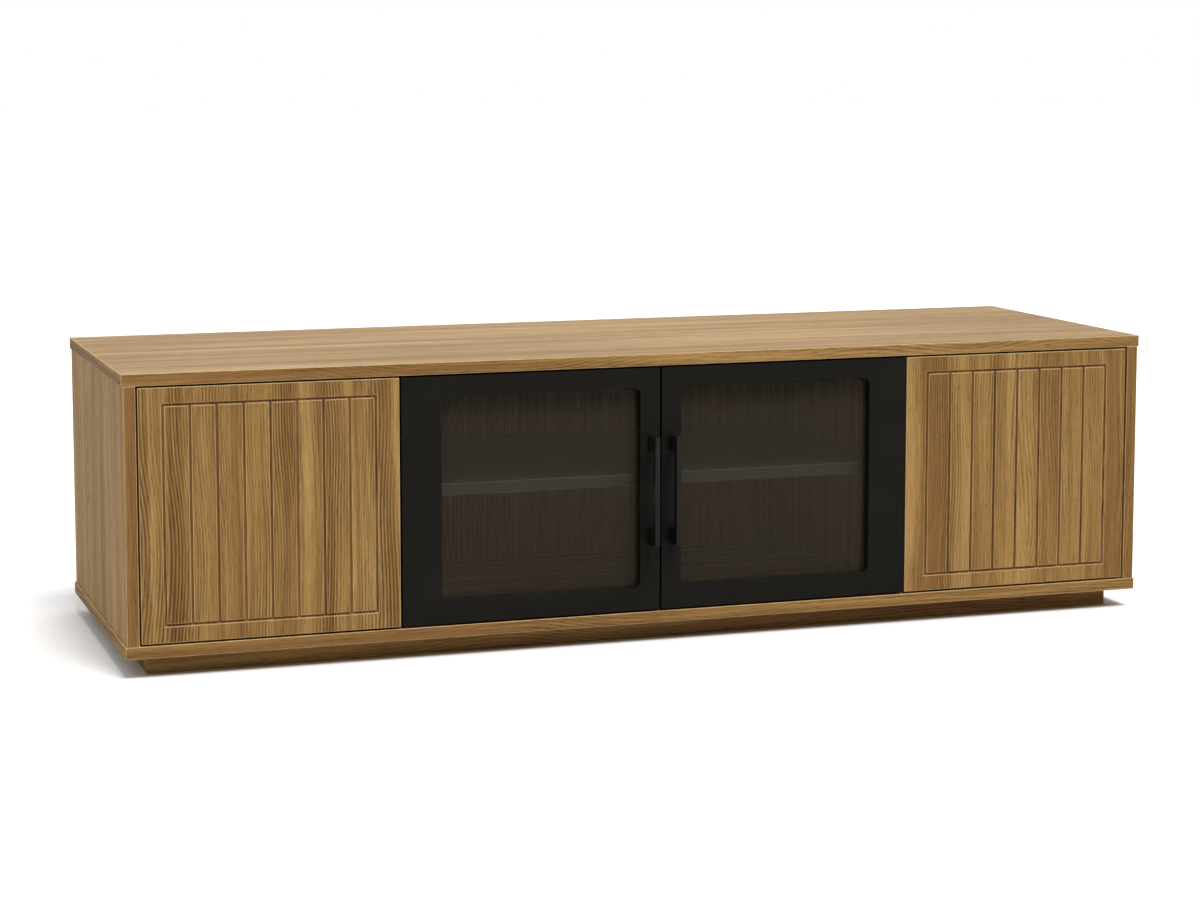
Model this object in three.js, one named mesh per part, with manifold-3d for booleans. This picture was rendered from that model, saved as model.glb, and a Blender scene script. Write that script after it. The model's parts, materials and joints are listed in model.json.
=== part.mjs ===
// Media cabinet: a low four-door cabinet on a recessed plinth. The outer doors are routed oak
// veneer with push-to-open latches, the centre doors are black frames with tinted glass and
// bar handles. Each door turns on two concealed cup hinges.
// Millimetres, +Z up, front towards -Y. The origin is under the middle of the whole object.

import * as THREE from 'three';
import { mergeVertices } from 'three/addons/utils/BufferGeometryUtils.js';
import Module from 'manifold-3d';

const wasm = await Module();
wasm.setup();

// ---- Driving dimensions -------------------------------------------------------------------

// Carcass
const WIDTH = 1650;
const DEPTH = 525;
const HEIGHT = 448;
const BOARD = 18;
const SLAB_OVERHANG = 2.5;
const CENTRE_BAY = 805;
const PARTITION_BEHIND_DOOR = 4.5;
const BACK_THICKNESS = 6;
const BACK_INSET = 6;

// Plinth
const PLINTH_HEIGHT = 30;
const PLINTH_BOARD = 18;
const PLINTH_SIDE_INSET = 35;
const PLINTH_FRONT_INSET = 35;
const PLINTH_BACK_INSET = 15;

// Cable cut-outs in the back panels
const SLOT_WIDTH = 120;
const SLOT_HEIGHT = 60;
const SLOT_RADIUS = 25;
const SLOT_EDGE = 35;
const SLOT_ABOVE_FLOOR = 60;

// Shelves
const SHELF_THICKNESS = 18;
const SHELF_ABOVE_FLOOR = 209.5;
const SHELF_BEHIND_DOOR = 19;
const SHELF_BACK_GAP = 2;
const SHELF_END_GAP = 0.5;
const PIN_RADIUS = 2.5;
const PIN_LENGTH = 9;
const PIN_FROM_END = 60;

// Doors
const DOOR_THICKNESS = 20;
const DOOR_RECESS = 1;
const DOOR_GAP = 3;

// Routed grooves of the oak doors
const GROOVE_WIDTH = 5;
const GROOVE_DEPTH = 3;
const GROOVE_SIDE_INSET = 36;
const GROOVE_END_INSET = 26;
const SLAT_COUNT = 8;

// Glass doors
const HANDLE_STILE = 31.5;
const HINGE_STILE = 61;
const TOP_RAIL = 30.5;
const BOTTOM_RAIL = 35;
const WINDOW_RADIUS = 10;
const FRONT_LIP = 14;
const GLASS_THICKNESS = 4;
const RABBET = 8;
const GLASS_EDGE_GAP = 0.5;
const RETAINER_COVER = 3;

// Bar handles
const HANDLE_LENGTH = 168;
const HANDLE_WIDTH = 8;
const HANDLE_REACH = 35;
const HANDLE_BAR = 10;
const HANDLE_LEG = 24;
const HANDLE_CORNER = 3;

// Concealed hinges; in and past run inwards from a door's hinge edge
const HINGE_FROM_DOOR_END = 70;
const CUP_RADIUS = 17.5;
const CUP_BORE_FROM_EDGE = 5;
const CUP_BORE_DEPTH = 13;
const CUP_FIT_GAP = 0.3;
const CUP_WALL = 1.5;
const CUP_FLANGE = 1.5;
const CUP_FLANGE_LIP = 1.5;
const CUP_WING_LENGTH = 62;
const CUP_WING_WIDTH = 20;
const CUP_NOTCH_WIDTH = 18;
const CUP_NOTCH_DEPTH = 4;
const ARM_PIVOT_PAST_CUP = 10;
const ARM_PIVOT_IN_DOOR = 5;
const LINK_END_BEFORE_CUP = 8.5;
const LINK_END_IN_DOOR = 6;
const LINK_LENGTH = 17.6;
const LINK_BEND_AT = 0.6;
const LINK_BEND = 3;
const LINK_HALF_WIDTH = 1.8;
const LINK_EYE = 3;
const LINK_THICKNESS = 8;
const PIVOT_PIN_RADIUS = 1.5;
const PIVOT_GAP = 0.3;
const ARM_CHEEK = 2.5;
const ARM_CHEEK_GAP = 0.5;
const ARM_BEHIND_DOOR = 5;
const ARM_CROSS_DEPTH = 6;
const ARM_LENGTH = 70;
const ARM_HEIGHT = 10;
const ARM_PLATE = 2;
const ARM_PLATE_LENGTH = 40;
const ARM_PLATE_HEIGHT = 50;
const ARM_PLATE_BEHIND_DOOR = 28;

// Push-to-open latches
const LATCH_ABOVE_SHELF = 72.5;
const LATCH_SIZE = 14;
const LATCH_LENGTH = 64;
const LATCH_BEHIND_PARTITION_EDGE = 1;
const PLUNGER_RADIUS = 4;
const PLUNGER_GAP = 0.4;
const PLUNGER_ENGAGED = 42;
const PLUNGER_DOOR_GAP = 0.3;

// ---- Places worked out from the dimensions ------------------------------------------------

const HANDLE_PROUD = HANDLE_REACH - DOOR_RECESS;
const FRONT = -(DEPTH + HANDLE_PROUD) / 2 + HANDLE_PROUD;
const BACK = FRONT + DEPTH;
const FLOOR_TOP = PLINTH_HEIGHT + BOARD;
const TOP_UNDERSIDE = HEIGHT - BOARD;
const SIDE_OUTER = WIDTH / 2 - SLAB_OVERHANG;
const SIDE_INNER = SIDE_OUTER - BOARD;
const PARTITION_INNER = CENTRE_BAY / 2;
const PARTITION_OUTER = PARTITION_INNER + BOARD;
const PARTITION_MIDDLE = PARTITION_INNER + BOARD / 2;
const BACK_INNER = BACK - BACK_INSET - BACK_THICKNESS;

const DOOR_FRONT = FRONT + DOOR_RECESS;
const DOOR_BACK = DOOR_FRONT + DOOR_THICKNESS;
const PARTITION_FRONT = DOOR_BACK + PARTITION_BEHIND_DOOR;
const DOOR_BOTTOM = FLOOR_TOP + DOOR_GAP;
const DOOR_HEIGHT = TOP_UNDERSIDE - DOOR_GAP - DOOR_BOTTOM;
const OAK_HINGE_EDGE = SIDE_INNER - DOOR_GAP;
const OAK_FREE_EDGE = PARTITION_MIDDLE + DOOR_GAP / 2;
const GLASS_HINGE_EDGE = PARTITION_MIDDLE - DOOR_GAP / 2;
const OAK_WIDTH = OAK_HINGE_EDGE - OAK_FREE_EDGE;
const GLASS_WIDTH = GLASS_HINGE_EDGE - DOOR_GAP / 2;
const CUP_FROM_EDGE = CUP_BORE_FROM_EDGE + CUP_RADIUS;
const CUP_FLANGE_RADIUS = CUP_RADIUS + CUP_FLANGE_LIP;
const ARM_PIVOT = { x: CUP_FROM_EDGE + ARM_PIVOT_PAST_CUP, y: DOOR_THICKNESS - ARM_PIVOT_IN_DOOR };
const LINK_END = { x: CUP_FROM_EDGE - LINK_END_BEFORE_CUP, y: DOOR_THICKNESS - LINK_END_IN_DOOR };
const HINGE_HEIGHTS = { lower: HINGE_FROM_DOOR_END, upper: DOOR_HEIGHT - HINGE_FROM_DOOR_END };

// A door hinged on its left measures inwards along +X, one hinged on its right along -X.
const SIDES = [
  { name: 'left', side: -1, inward: 1 },
  { name: 'right', side: 1, inward: -1 },
];

// ---- Finishes -----------------------------------------------------------------------------

const finish = (color, roughness, metalness = 0) => () =>
  new THREE.MeshStandardMaterial({ color, roughness, metalness });

const oak = finish(0xb08b5a, 0.55);
const oakShade = finish(0x8f6b41, 0.6);
const blackLacquer = finish(0x24231f, 0.35);
const darkLaminate = finish(0x2f2d2b, 0.5);
const handleBlack = finish(0x1b1b1b, 0.3, 0.6);
const steel = finish(0xb9bbbd, 0.3, 1);
const greyPlastic = finish(0x6a6c6e, 0.55);

function tintedGlass() {
  const material = new THREE.MeshStandardMaterial({ color: 0x2d2823, roughness: 0.05 });
  material.transparent = true;
  material.opacity = 0.45;
  return material;
}

// ---- Shape helpers ------------------------------------------------------------------------

const middle = ([from, to]) => (from + to) / 2;
const length = ([from, to]) => Math.abs(to - from);
const grown = ([from, to], margin) => [from - margin, to + margin];

/** A box between two limits on each axis. */
function block(x, y, z) {
  const geometry = new THREE.BoxGeometry(length(x), length(y), length(z));
  geometry.translate(middle(x), middle(y), middle(z));
  return geometry;
}

/** A cylinder along Y whose axis passes through x and z. */
function rodAlongY(radius, x, y, z, segments = 24) {
  const geometry = new THREE.CylinderGeometry(radius, radius, length(y), segments);
  geometry.translate(x, middle(y), z);
  return geometry;
}

/** An upright cylinder whose axis passes through x and y. */
function rodAlongZ(radius, x, y, z, segments = 12) {
  const geometry = new THREE.CylinderGeometry(radius, radius, length(z), segments);
  geometry.rotateX(Math.PI / 2);
  geometry.translate(x, y, middle(z));
  return geometry;
}

/** A rectangle outline with rounded corners between two limits on each axis. */
function roundedOutline(across, up, radius) {
  const [x0, x1] = [Math.min(...across), Math.max(...across)];
  const [y0, y1] = up;
  const outline = new THREE.Shape();
  outline.moveTo(x0 + radius, y0);
  outline.lineTo(x1 - radius, y0);
  outline.absarc(x1 - radius, y0 + radius, radius, -Math.PI / 2, 0);
  outline.lineTo(x1, y1 - radius);
  outline.absarc(x1 - radius, y1 - radius, radius, 0, Math.PI / 2);
  outline.lineTo(x0 + radius, y1);
  outline.absarc(x0 + radius, y1 - radius, radius, Math.PI / 2, Math.PI);
  outline.lineTo(x0, y0 + radius);
  outline.absarc(x0 + radius, y0 + radius, radius, Math.PI, 1.5 * Math.PI);
  outline.closePath();
  return outline;
}

/** A plate with rounded corners in the XZ plane, between two limits along Y. */
function roundedPlate(x, y, z, radius) {
  const geometry = new THREE.ExtrudeGeometry(roundedOutline(x, z, radius), {
    depth: length(y),
    bevelEnabled: false,
    curveSegments: 5,
  });
  geometry.rotateX(Math.PI / 2);
  geometry.translate(0, y[1], 0);
  return geometry;
}

/** A box along Y whose section grows or shrinks by the same margin on each side. */
function taperedBlock(x, y, z, marginAtFront) {
  const geometry = block(x, y, z);
  const position = geometry.attributes.position;
  for (let i = 0; i < position.count; i += 1) {
    if (position.getY(i) < middle(y)) {
      position.setX(i, position.getX(i) + Math.sign(position.getX(i) - middle(x)) * marginAtFront);
      position.setZ(i, position.getZ(i) + Math.sign(position.getZ(i) - middle(z)) * marginAtFront);
    }
  }
  return geometry;
}

/** A closed geometry as a solid that can be joined and cut. */
function solid(geometry) {
  const bare = geometry.clone();
  bare.deleteAttribute('normal');
  bare.deleteAttribute('uv');
  const merged = mergeVertices(bare, 1e-4);
  return new wasm.Manifold(new wasm.Mesh({
    numProp: 3,
    vertProperties: new Float32Array(merged.attributes.position.array),
    triVerts: new Uint32Array(merged.index.array),
  }));
}

/** A joined or cut solid back as a geometry. */
function geometryOf(body) {
  const mesh = body.getMesh();
  const geometry = new THREE.BufferGeometry();
  geometry.setAttribute('position', new THREE.BufferAttribute(mesh.vertProperties, 3));
  geometry.setIndex(new THREE.BufferAttribute(mesh.triVerts, 1));
  geometry.computeVertexNormals();
  return geometry;
}

const joined = (geometries) => geometries.map(solid).reduce((sum, piece) => sum.add(piece));
const without = (body, cuts) => cuts.map(solid).reduce((rest, cut) => rest.subtract(cut), body);

function piece(name, geometry, material) {
  const mesh = new THREE.Mesh(geometry, material());
  mesh.name = name;
  return mesh;
}

/** A board placed by its position, its geometry centred on itself. */
function board(name, x, y, z, material) {
  const mesh = piece(name, new THREE.BoxGeometry(length(x), length(y), length(z)), material);
  mesh.position.set(middle(x), middle(y), middle(z));
  return mesh;
}

const mirrored = (side, [from, to]) => (side > 0 ? [from, to] : [-to, -from]);

// ---- Carcass ------------------------------------------------------------------------------

function carcass() {
  const group = new THREE.Group();
  const fullWidth = [-WIDTH / 2, WIDTH / 2];
  const walls = [FLOOR_TOP, TOP_UNDERSIDE];
  group.add(board('top_board', fullWidth, [FRONT, BACK], [TOP_UNDERSIDE, HEIGHT], oak));
  group.add(board('bottom_board', fullWidth, [FRONT, BACK], [PLINTH_HEIGHT, FLOOR_TOP], oak));
  for (const { name, side } of SIDES) {
    const sideX = mirrored(side, [SIDE_INNER, SIDE_OUTER]);
    const partitionX = mirrored(side, [PARTITION_INNER, PARTITION_OUTER]);
    group.add(board(`side_panel_${name}`, sideX, [FRONT, BACK], walls, oak));
    group.add(board(`partition_${name}`, partitionX, [PARTITION_FRONT, BACK], walls, oak));
  }
  return group;
}

/** A back panel, with a rounded cable cut-out near its low end in X. */
function backPanel(name, x) {
  const y = [BACK_INNER, BACK_INNER + BACK_THICKNESS];
  const slotX = [x[0] + SLOT_EDGE, x[0] + SLOT_EDGE + SLOT_WIDTH];
  const slotZ = [FLOOR_TOP + SLOT_ABOVE_FLOOR, FLOOR_TOP + SLOT_ABOVE_FLOOR + SLOT_HEIGHT];
  const through = [y[0] - 1, y[1] + 1];
  const panel = solid(block(x, y, [FLOOR_TOP, TOP_UNDERSIDE]));
  const cut = without(panel, [roundedPlate(slotX, through, slotZ, SLOT_RADIUS)]);
  return piece(name, geometryOf(cut), oakShade);
}

function backs() {
  const group = new THREE.Group();
  group.add(backPanel('back_panel_left', [-SIDE_INNER, -PARTITION_OUTER]));
  group.add(backPanel('back_panel_centre', [-PARTITION_INNER, PARTITION_INNER]));
  group.add(backPanel('back_panel_right', [PARTITION_OUTER, SIDE_INNER]));
  return group;
}

function plinth() {
  const group = new THREE.Group();
  const z = [0, PLINTH_HEIGHT];
  const half = WIDTH / 2 - PLINTH_SIDE_INSET;
  const front = FRONT + PLINTH_FRONT_INSET;
  const back = BACK - PLINTH_BACK_INSET;
  const between = [front + PLINTH_BOARD, back - PLINTH_BOARD];
  group.add(board('plinth_front', [-half, half], [front, between[0]], z, oakShade));
  group.add(board('plinth_back', [-half, half], [between[1], back], z, oakShade));
  for (const { name, side } of SIDES) {
    const x = mirrored(side, [half - PLINTH_BOARD, half]);
    group.add(board(`plinth_${name}`, x, between, z, oakShade));
  }
  const rail = [-PLINTH_BOARD / 2, PLINTH_BOARD / 2];
  group.add(board('plinth_centre_rail', rail, between, z, oakShade));
  return group;
}

// ---- Shelves ------------------------------------------------------------------------------

const SHELF_Y = [DOOR_BACK + SHELF_BEHIND_DOOR, BACK_INNER - SHELF_BACK_GAP];
const SHELF_TOP = FLOOR_TOP + SHELF_ABOVE_FLOOR;
const SHELF_Z = [SHELF_TOP - SHELF_THICKNESS, SHELF_TOP];

function shelf(name, bay) {
  const x = [bay[0] + SHELF_END_GAP, bay[1] - SHELF_END_GAP];
  return board(name, x, SHELF_Y, SHELF_Z, darkLaminate);
}

/** A shelf pin under the centre shelf, standing out of a partition. */
function shelfPin(name, side, y) {
  const geometry = new THREE.CylinderGeometry(PIN_RADIUS, PIN_RADIUS, PIN_LENGTH, 16);
  geometry.rotateZ(Math.PI / 2);
  const pin = piece(name, geometry, steel);
  const x = side * (PARTITION_INNER - PIN_LENGTH / 2 - SHELF_END_GAP);
  pin.position.set(x, y, SHELF_Z[0] - PIN_RADIUS - SHELF_END_GAP);
  return pin;
}

function shelves() {
  const group = new THREE.Group();
  group.add(shelf('shelf_left', [-SIDE_INNER, -PARTITION_OUTER]));
  group.add(shelf('shelf_centre', [-PARTITION_INNER, PARTITION_INNER]));
  group.add(shelf('shelf_right', [PARTITION_OUTER, SIDE_INNER]));
  for (const { name, side } of SIDES) {
    group.add(shelfPin(`shelf_pin_${name}_front`, side, SHELF_Y[0] + PIN_FROM_END));
    group.add(shelfPin(`shelf_pin_${name}_back`, side, SHELF_Y[1] - PIN_FROM_END));
  }
  return group;
}

// ---- Hinges -------------------------------------------------------------------------------
// Door coordinates: X inwards from the hinge edge (times the door's direction), Y back from
// the door's front face, Z up from the door's lower edge.

const along = (inward, [from, to]) => [inward * from, inward * to];
const CUP_FLOOR = DOOR_THICKNESS - CUP_BORE_DEPTH;
const CUP_BODY = [CUP_FLOOR + CUP_FIT_GAP, DOOR_THICKNESS];

function cupBore(inward, z) {
  return rodAlongY(CUP_RADIUS, inward * CUP_FROM_EDGE, [CUP_FLOOR, DOOR_THICKNESS + 1], z);
}

/** The cup in the door: a pot with a flange, open at the back and towards the hinge edge. */
function hingeCup(name, inward, z) {
  const x = inward * CUP_FROM_EDGE;
  const flangeY = [DOOR_THICKNESS, DOOR_THICKNESS + CUP_FLANGE];
  const wingX = [CUP_FROM_EDGE, CUP_FROM_EDGE + CUP_WING_WIDTH];
  const wingZ = [z - CUP_WING_LENGTH / 2, z + CUP_WING_LENGTH / 2];
  const outer = joined([
    rodAlongY(CUP_RADIUS - CUP_FIT_GAP, x, [CUP_BODY[0], flangeY[1]], z),
    rodAlongY(CUP_FLANGE_RADIUS, x, flangeY, z),
    roundedPlate(along(inward, wingX), flangeY, wingZ, CUP_WING_WIDTH / 4),
  ]);
  const notchX = [CUP_FROM_EDGE - CUP_FLANGE_RADIUS - 1, CUP_FROM_EDGE - CUP_RADIUS / 2];
  const notchY = [DOOR_THICKNESS - CUP_NOTCH_DEPTH, flangeY[1] + 1];
  const notchZ = [z - CUP_NOTCH_WIDTH / 2, z + CUP_NOTCH_WIDTH / 2];
  const pocketRadius = CUP_RADIUS - CUP_FIT_GAP - CUP_WALL;
  const body = without(outer, [
    rodAlongY(pocketRadius, x, [CUP_BODY[0] + CUP_WALL, flangeY[1] + 1], z),
    block(along(inward, notchX), notchY, notchZ),
  ]);
  return piece(name, geometryOf(body), steel);
}

/** The fixed arm: a plate on the wall, a channel, a cross piece and two cheeks with a pin. */
function hingeArm(name, inward, wall, z) {
  const halfLink = LINK_THICKNESS / 2 + ARM_CHEEK_GAP;
  const halfHeight = halfLink + ARM_CHEEK;
  const pivotX = inward * ARM_PIVOT.x;
  const plateFront = DOOR_THICKNESS + ARM_PLATE_BEHIND_DOOR;
  const plateY = [plateFront, plateFront + ARM_PLATE_LENGTH];
  const plateZ = [z - ARM_PLATE_HEIGHT / 2, z + ARM_PLATE_HEIGHT / 2];
  const crossFront = DOOR_THICKNESS + ARM_BEHIND_DOOR;
  const crossY = [crossFront, crossFront + ARM_CROSS_DEPTH];
  const armZ = [z - halfHeight, z + halfHeight];
  const shapes = [
    block(along(inward, [wall, wall + ARM_PLATE]), plateY, plateZ),
    block(along(inward, [wall, wall + ARM_HEIGHT]), [crossY[0], crossY[0] + ARM_LENGTH], armZ),
    block(along(inward, [wall, ARM_PIVOT.x + LINK_EYE]), crossY, armZ),
    rodAlongZ(PIVOT_PIN_RADIUS, pivotX, ARM_PIVOT.y, armZ),
  ];
  for (const cheek of [[-halfHeight, -halfLink], [halfLink, halfHeight]]) {
    const cheekZ = [z + cheek[0], z + cheek[1]];
    const cheekX = along(inward, grown([ARM_PIVOT.x, ARM_PIVOT.x], LINK_EYE));
    shapes.push(block(cheekX, [ARM_PIVOT.y, crossY[1]], cheekZ));
    shapes.push(rodAlongZ(LINK_EYE, pivotX, ARM_PIVOT.y, cheekZ));
  }
  return piece(name, geometryOf(joined(shapes)), steel);
}

/** A straight bar between two points in plan, with round ends. */
function linkStretch(from, to, z) {
  const run = from.distanceTo(to);
  const bar = new THREE.BoxGeometry(run, 2 * LINK_HALF_WIDTH, length(z));
  bar.rotateZ(Math.atan2(to.y - from.y, to.x - from.x));
  bar.translate((from.x + to.x) / 2, (from.y + to.y) / 2, middle(z));
  return [bar, rodAlongZ(LINK_HALF_WIDTH, to.x, to.y, z)];
}

/** The bent link that turns on the arm's pin and reaches into the cup. */
function hingeLink(name, inward, z) {
  const pivot = new THREE.Vector2(ARM_PIVOT.x, ARM_PIVOT.y);
  const end = new THREE.Vector2(LINK_END.x, LINK_END.y);
  const reach = end.sub(pivot).setLength(LINK_LENGTH);
  const sideways = new THREE.Vector2(-reach.y, reach.x).setLength(LINK_BEND);
  const bend = pivot.clone().addScaledVector(reach, LINK_BEND_AT).add(sideways);
  const tip = pivot.clone().add(reach);
  for (const point of [pivot, bend, tip]) {
    point.x *= inward;
  }
  const linkZ = [z - LINK_THICKNESS / 2, z + LINK_THICKNESS / 2];
  const body = joined([
    rodAlongZ(LINK_EYE, pivot.x, pivot.y, linkZ),
    ...linkStretch(pivot, bend, linkZ),
    ...linkStretch(bend, tip, linkZ),
  ]);
  const holeZ = [linkZ[0] - 1, linkZ[1] + 1];
  const hole = rodAlongZ(PIVOT_PIN_RADIUS + PIVOT_GAP, pivot.x, pivot.y, holeZ);
  return piece(name, geometryOf(without(body, [hole])), steel);
}

/** Both hinges of one door; wall is where the hinge arms stand, inwards from the hinge edge. */
function hinges(doorName, inward, wall) {
  const group = new THREE.Group();
  for (const [level, z] of Object.entries(HINGE_HEIGHTS)) {
    group.add(hingeCup(`${doorName}_hinge_cup_${level}`, inward, z));
    group.add(hingeArm(`${doorName}_hinge_arm_${level}`, inward, wall, z));
    group.add(hingeLink(`${doorName}_hinge_link_${level}`, inward, z));
  }
  return group;
}

const bores = (inward) => Object.values(HINGE_HEIGHTS).map((z) => cupBore(inward, z));

// ---- Oak doors ----------------------------------------------------------------------------

/** A straight V groove on the front face, running upwards. */
function uprightGroove(x, z) {
  const half = GROOVE_WIDTH / 2;
  const over = 1;
  const widened = half * (GROOVE_DEPTH + over) / GROOVE_DEPTH;
  const outline = new THREE.Shape();
  outline.moveTo(x - widened, -over);
  outline.lineTo(x + widened, -over);
  outline.lineTo(x, GROOVE_DEPTH);
  outline.closePath();
  const geometry = new THREE.ExtrudeGeometry(outline, { depth: length(z), bevelEnabled: false });
  geometry.translate(0, 0, z[0]);
  return geometry;
}

/** The mitred V groove that frames the slats. */
function frameGroove(x, z) {
  const y = [-1, GROOVE_DEPTH];
  const slope = GROOVE_WIDTH / 2 / GROOVE_DEPTH;
  const margin = slope * length(y);
  return solid(taperedBlock(x, y, z, margin)).subtract(solid(taperedBlock(x, y, z, -margin)));
}

function oakDoor(name, inward) {
  const grooveX = [GROOVE_SIDE_INSET, OAK_WIDTH - GROOVE_SIDE_INSET];
  const grooveZ = [GROOVE_END_INSET, DOOR_HEIGHT - GROOVE_END_INSET];
  const slat = length(grooveX) / SLAT_COUNT;
  const grooves = [];
  for (let i = 1; i < SLAT_COUNT; i += 1) {
    grooves.push(uprightGroove(inward * (grooveX[0] + i * slat), grooveZ));
  }
  const panel = block(along(inward, [0, OAK_WIDTH]), [0, DOOR_THICKNESS], [0, DOOR_HEIGHT]);
  const sortedX = along(inward, grooveX).sort((a, b) => a - b);
  const framed = solid(panel).subtract(frameGroove(sortedX, grooveZ));
  const door = without(framed, [...grooves, ...bores(inward)]);
  return piece(name, geometryOf(door), oak);
}

// ---- Glass doors --------------------------------------------------------------------------

const WINDOW_X = [HINGE_STILE, GLASS_WIDTH - HANDLE_STILE];
const WINDOW_Z = [BOTTOM_RAIL, DOOR_HEIGHT - TOP_RAIL];
const GLASS_Y = [FRONT_LIP, FRONT_LIP + GLASS_THICKNESS];
const RETAINER_Y = [GLASS_Y[1], DOOR_THICKNESS];

function glassDoorFrame(name, inward) {
  const panel = block(along(inward, [0, GLASS_WIDTH]), [0, DOOR_THICKNESS], [0, DOOR_HEIGHT]);
  const windowX = along(inward, WINDOW_X);
  const rabbetX = along(inward, grown(WINDOW_X, RABBET));
  const rabbetZ = grown(WINDOW_Z, RABBET);
  const frame = without(solid(panel), [
    roundedPlate(windowX, [-1, DOOR_THICKNESS], WINDOW_Z, WINDOW_RADIUS),
    block(rabbetX, [FRONT_LIP, DOOR_THICKNESS + 1], rabbetZ),
    ...bores(inward),
  ]);
  return piece(name, geometryOf(frame), blackLacquer);
}

function glassPane(name, inward) {
  const x = along(inward, grown(WINDOW_X, RABBET - GLASS_EDGE_GAP));
  return board(name, x, GLASS_Y, grown(WINDOW_Z, RABBET - GLASS_EDGE_GAP), tintedGlass);
}

/** The slim ring behind the glass that holds it in its rabbet. */
function glassRetainer(name, inward) {
  const outerX = grown(WINDOW_X, RABBET - GLASS_EDGE_GAP);
  const outerZ = grown(WINDOW_Z, RABBET - GLASS_EDGE_GAP);
  const innerX = along(inward, grown(WINDOW_X, -RETAINER_COVER));
  const ring = without(solid(block(along(inward, outerX), RETAINER_Y, outerZ)), [
    roundedPlate(innerX, grown(RETAINER_Y, 1), grown(WINDOW_Z, -RETAINER_COVER), WINDOW_RADIUS),
  ]);
  return piece(name, geometryOf(ring), blackLacquer);
}

/** A bar handle cut from one plate: two legs and a bar, with rounded inner corners. */
function handle(name, inward) {
  const half = HANDLE_LENGTH / 2;
  const inside = half - HANDLE_LEG;
  const barBack = -(HANDLE_REACH - HANDLE_BAR);
  const outline = new THREE.Shape();
  outline.moveTo(0, -half);
  outline.lineTo(0, -inside);
  outline.lineTo(barBack + HANDLE_CORNER, -inside);
  outline.absarc(barBack + HANDLE_CORNER, -inside + HANDLE_CORNER, HANDLE_CORNER,
    -Math.PI / 2, -Math.PI, true);
  outline.lineTo(barBack, inside - HANDLE_CORNER);
  outline.absarc(barBack + HANDLE_CORNER, inside - HANDLE_CORNER, HANDLE_CORNER,
    Math.PI, Math.PI / 2, true);
  outline.lineTo(0, inside);
  outline.lineTo(0, half);
  outline.lineTo(-HANDLE_REACH, half);
  outline.lineTo(-HANDLE_REACH, -half);
  outline.closePath();
  const geometry = new THREE.ExtrudeGeometry(outline, {
    depth: HANDLE_WIDTH,
    bevelEnabled: false,
    curveSegments: 6,
  });
  geometry.translate(0, 0, -HANDLE_WIDTH / 2);
  geometry.applyMatrix4(new THREE.Matrix4().makeBasis(
    new THREE.Vector3(0, 1, 0), new THREE.Vector3(0, 0, 1), new THREE.Vector3(1, 0, 0),
  ));
  const bar = piece(name, geometry, handleBlack);
  const stileMiddle = GLASS_WIDTH - HANDLE_STILE / 2;
  bar.position.set(inward * stileMiddle, 0, DOOR_HEIGHT / 2);
  return bar;
}

// ---- Push-to-open latches -----------------------------------------------------------------

const LATCH_Z = SHELF_TOP + LATCH_ABOVE_SHELF;

/** The latch on a partition's outer face, and its plunger behind the oak door. */
function latch(name, side) {
  const group = new THREE.Group();
  const x = mirrored(side, [PARTITION_OUTER, PARTITION_OUTER + LATCH_SIZE]);
  const front = PARTITION_FRONT + LATCH_BEHIND_PARTITION_EDGE;
  const y = [front, front + LATCH_LENGTH];
  const z = [LATCH_Z - LATCH_SIZE / 2, LATCH_Z + LATCH_SIZE / 2];
  const tip = DOOR_BACK + PLUNGER_DOOR_GAP;
  const end = y[0] + PLUNGER_ENGAGED;
  const guide = rodAlongY(PLUNGER_RADIUS + PLUNGER_GAP, middle(x), [y[0] - 1, end + 1], LATCH_Z);
  const housing = without(solid(block(x, y, z)), [guide]);
  group.add(piece(`push_latch_housing_${name}`, geometryOf(housing), greyPlastic));
  const plunger = rodAlongY(PLUNGER_RADIUS, 0, [0, end - tip], 0);
  const rod = piece(`push_latch_plunger_${name}`, plunger, greyPlastic);
  rod.position.set(middle(x), tip, LATCH_Z);
  group.add(rod);
  return group;
}

// ---- Assembly -----------------------------------------------------------------------------

/** A group at a door's hinge edge, front face and lower edge. */
function doorGroup(side, hingeEdge) {
  const group = new THREE.Group();
  group.position.set(side * hingeEdge, DOOR_FRONT, DOOR_BOTTOM);
  return group;
}

const cabinet = new THREE.Group();
cabinet.add(carcass());
cabinet.add(backs());
cabinet.add(plinth());
cabinet.add(shelves());
for (const { name, side, inward } of SIDES) {
  const oakGroup = doorGroup(side, OAK_HINGE_EDGE);
  oakGroup.add(oakDoor(`oak_door_${name}`, inward));
  oakGroup.add(hinges(`oak_${name}`, inward, OAK_HINGE_EDGE - SIDE_INNER));
  const glassGroup = doorGroup(side, GLASS_HINGE_EDGE);
  glassGroup.add(glassDoorFrame(`glass_door_frame_${name}`, inward));
  glassGroup.add(glassPane(`glass_pane_${name}`, inward));
  glassGroup.add(glassRetainer(`glass_retainer_${name}`, inward));
  glassGroup.add(handle(`handle_${name}`, inward));
  glassGroup.add(hinges(`glass_${name}`, inward, GLASS_HINGE_EDGE - PARTITION_INNER));
  cabinet.add(oakGroup);
  cabinet.add(glassGroup);
  cabinet.add(latch(name, side));
}

export default cabinet;
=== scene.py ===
"""Media cabinet: the visual model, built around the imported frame.

Lengths are in metres, +Z is up and the doors face -Y. Every piece takes its place from the
frame's nodes, rides on their body and stands for them.
"""

import json
import logging
import math
from contextlib import contextmanager
from dataclasses import dataclass
from enum import Enum
from typing import Callable, Iterator, Optional, Sequence, Union

import bpy
from mathutils import Matrix, Vector


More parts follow.
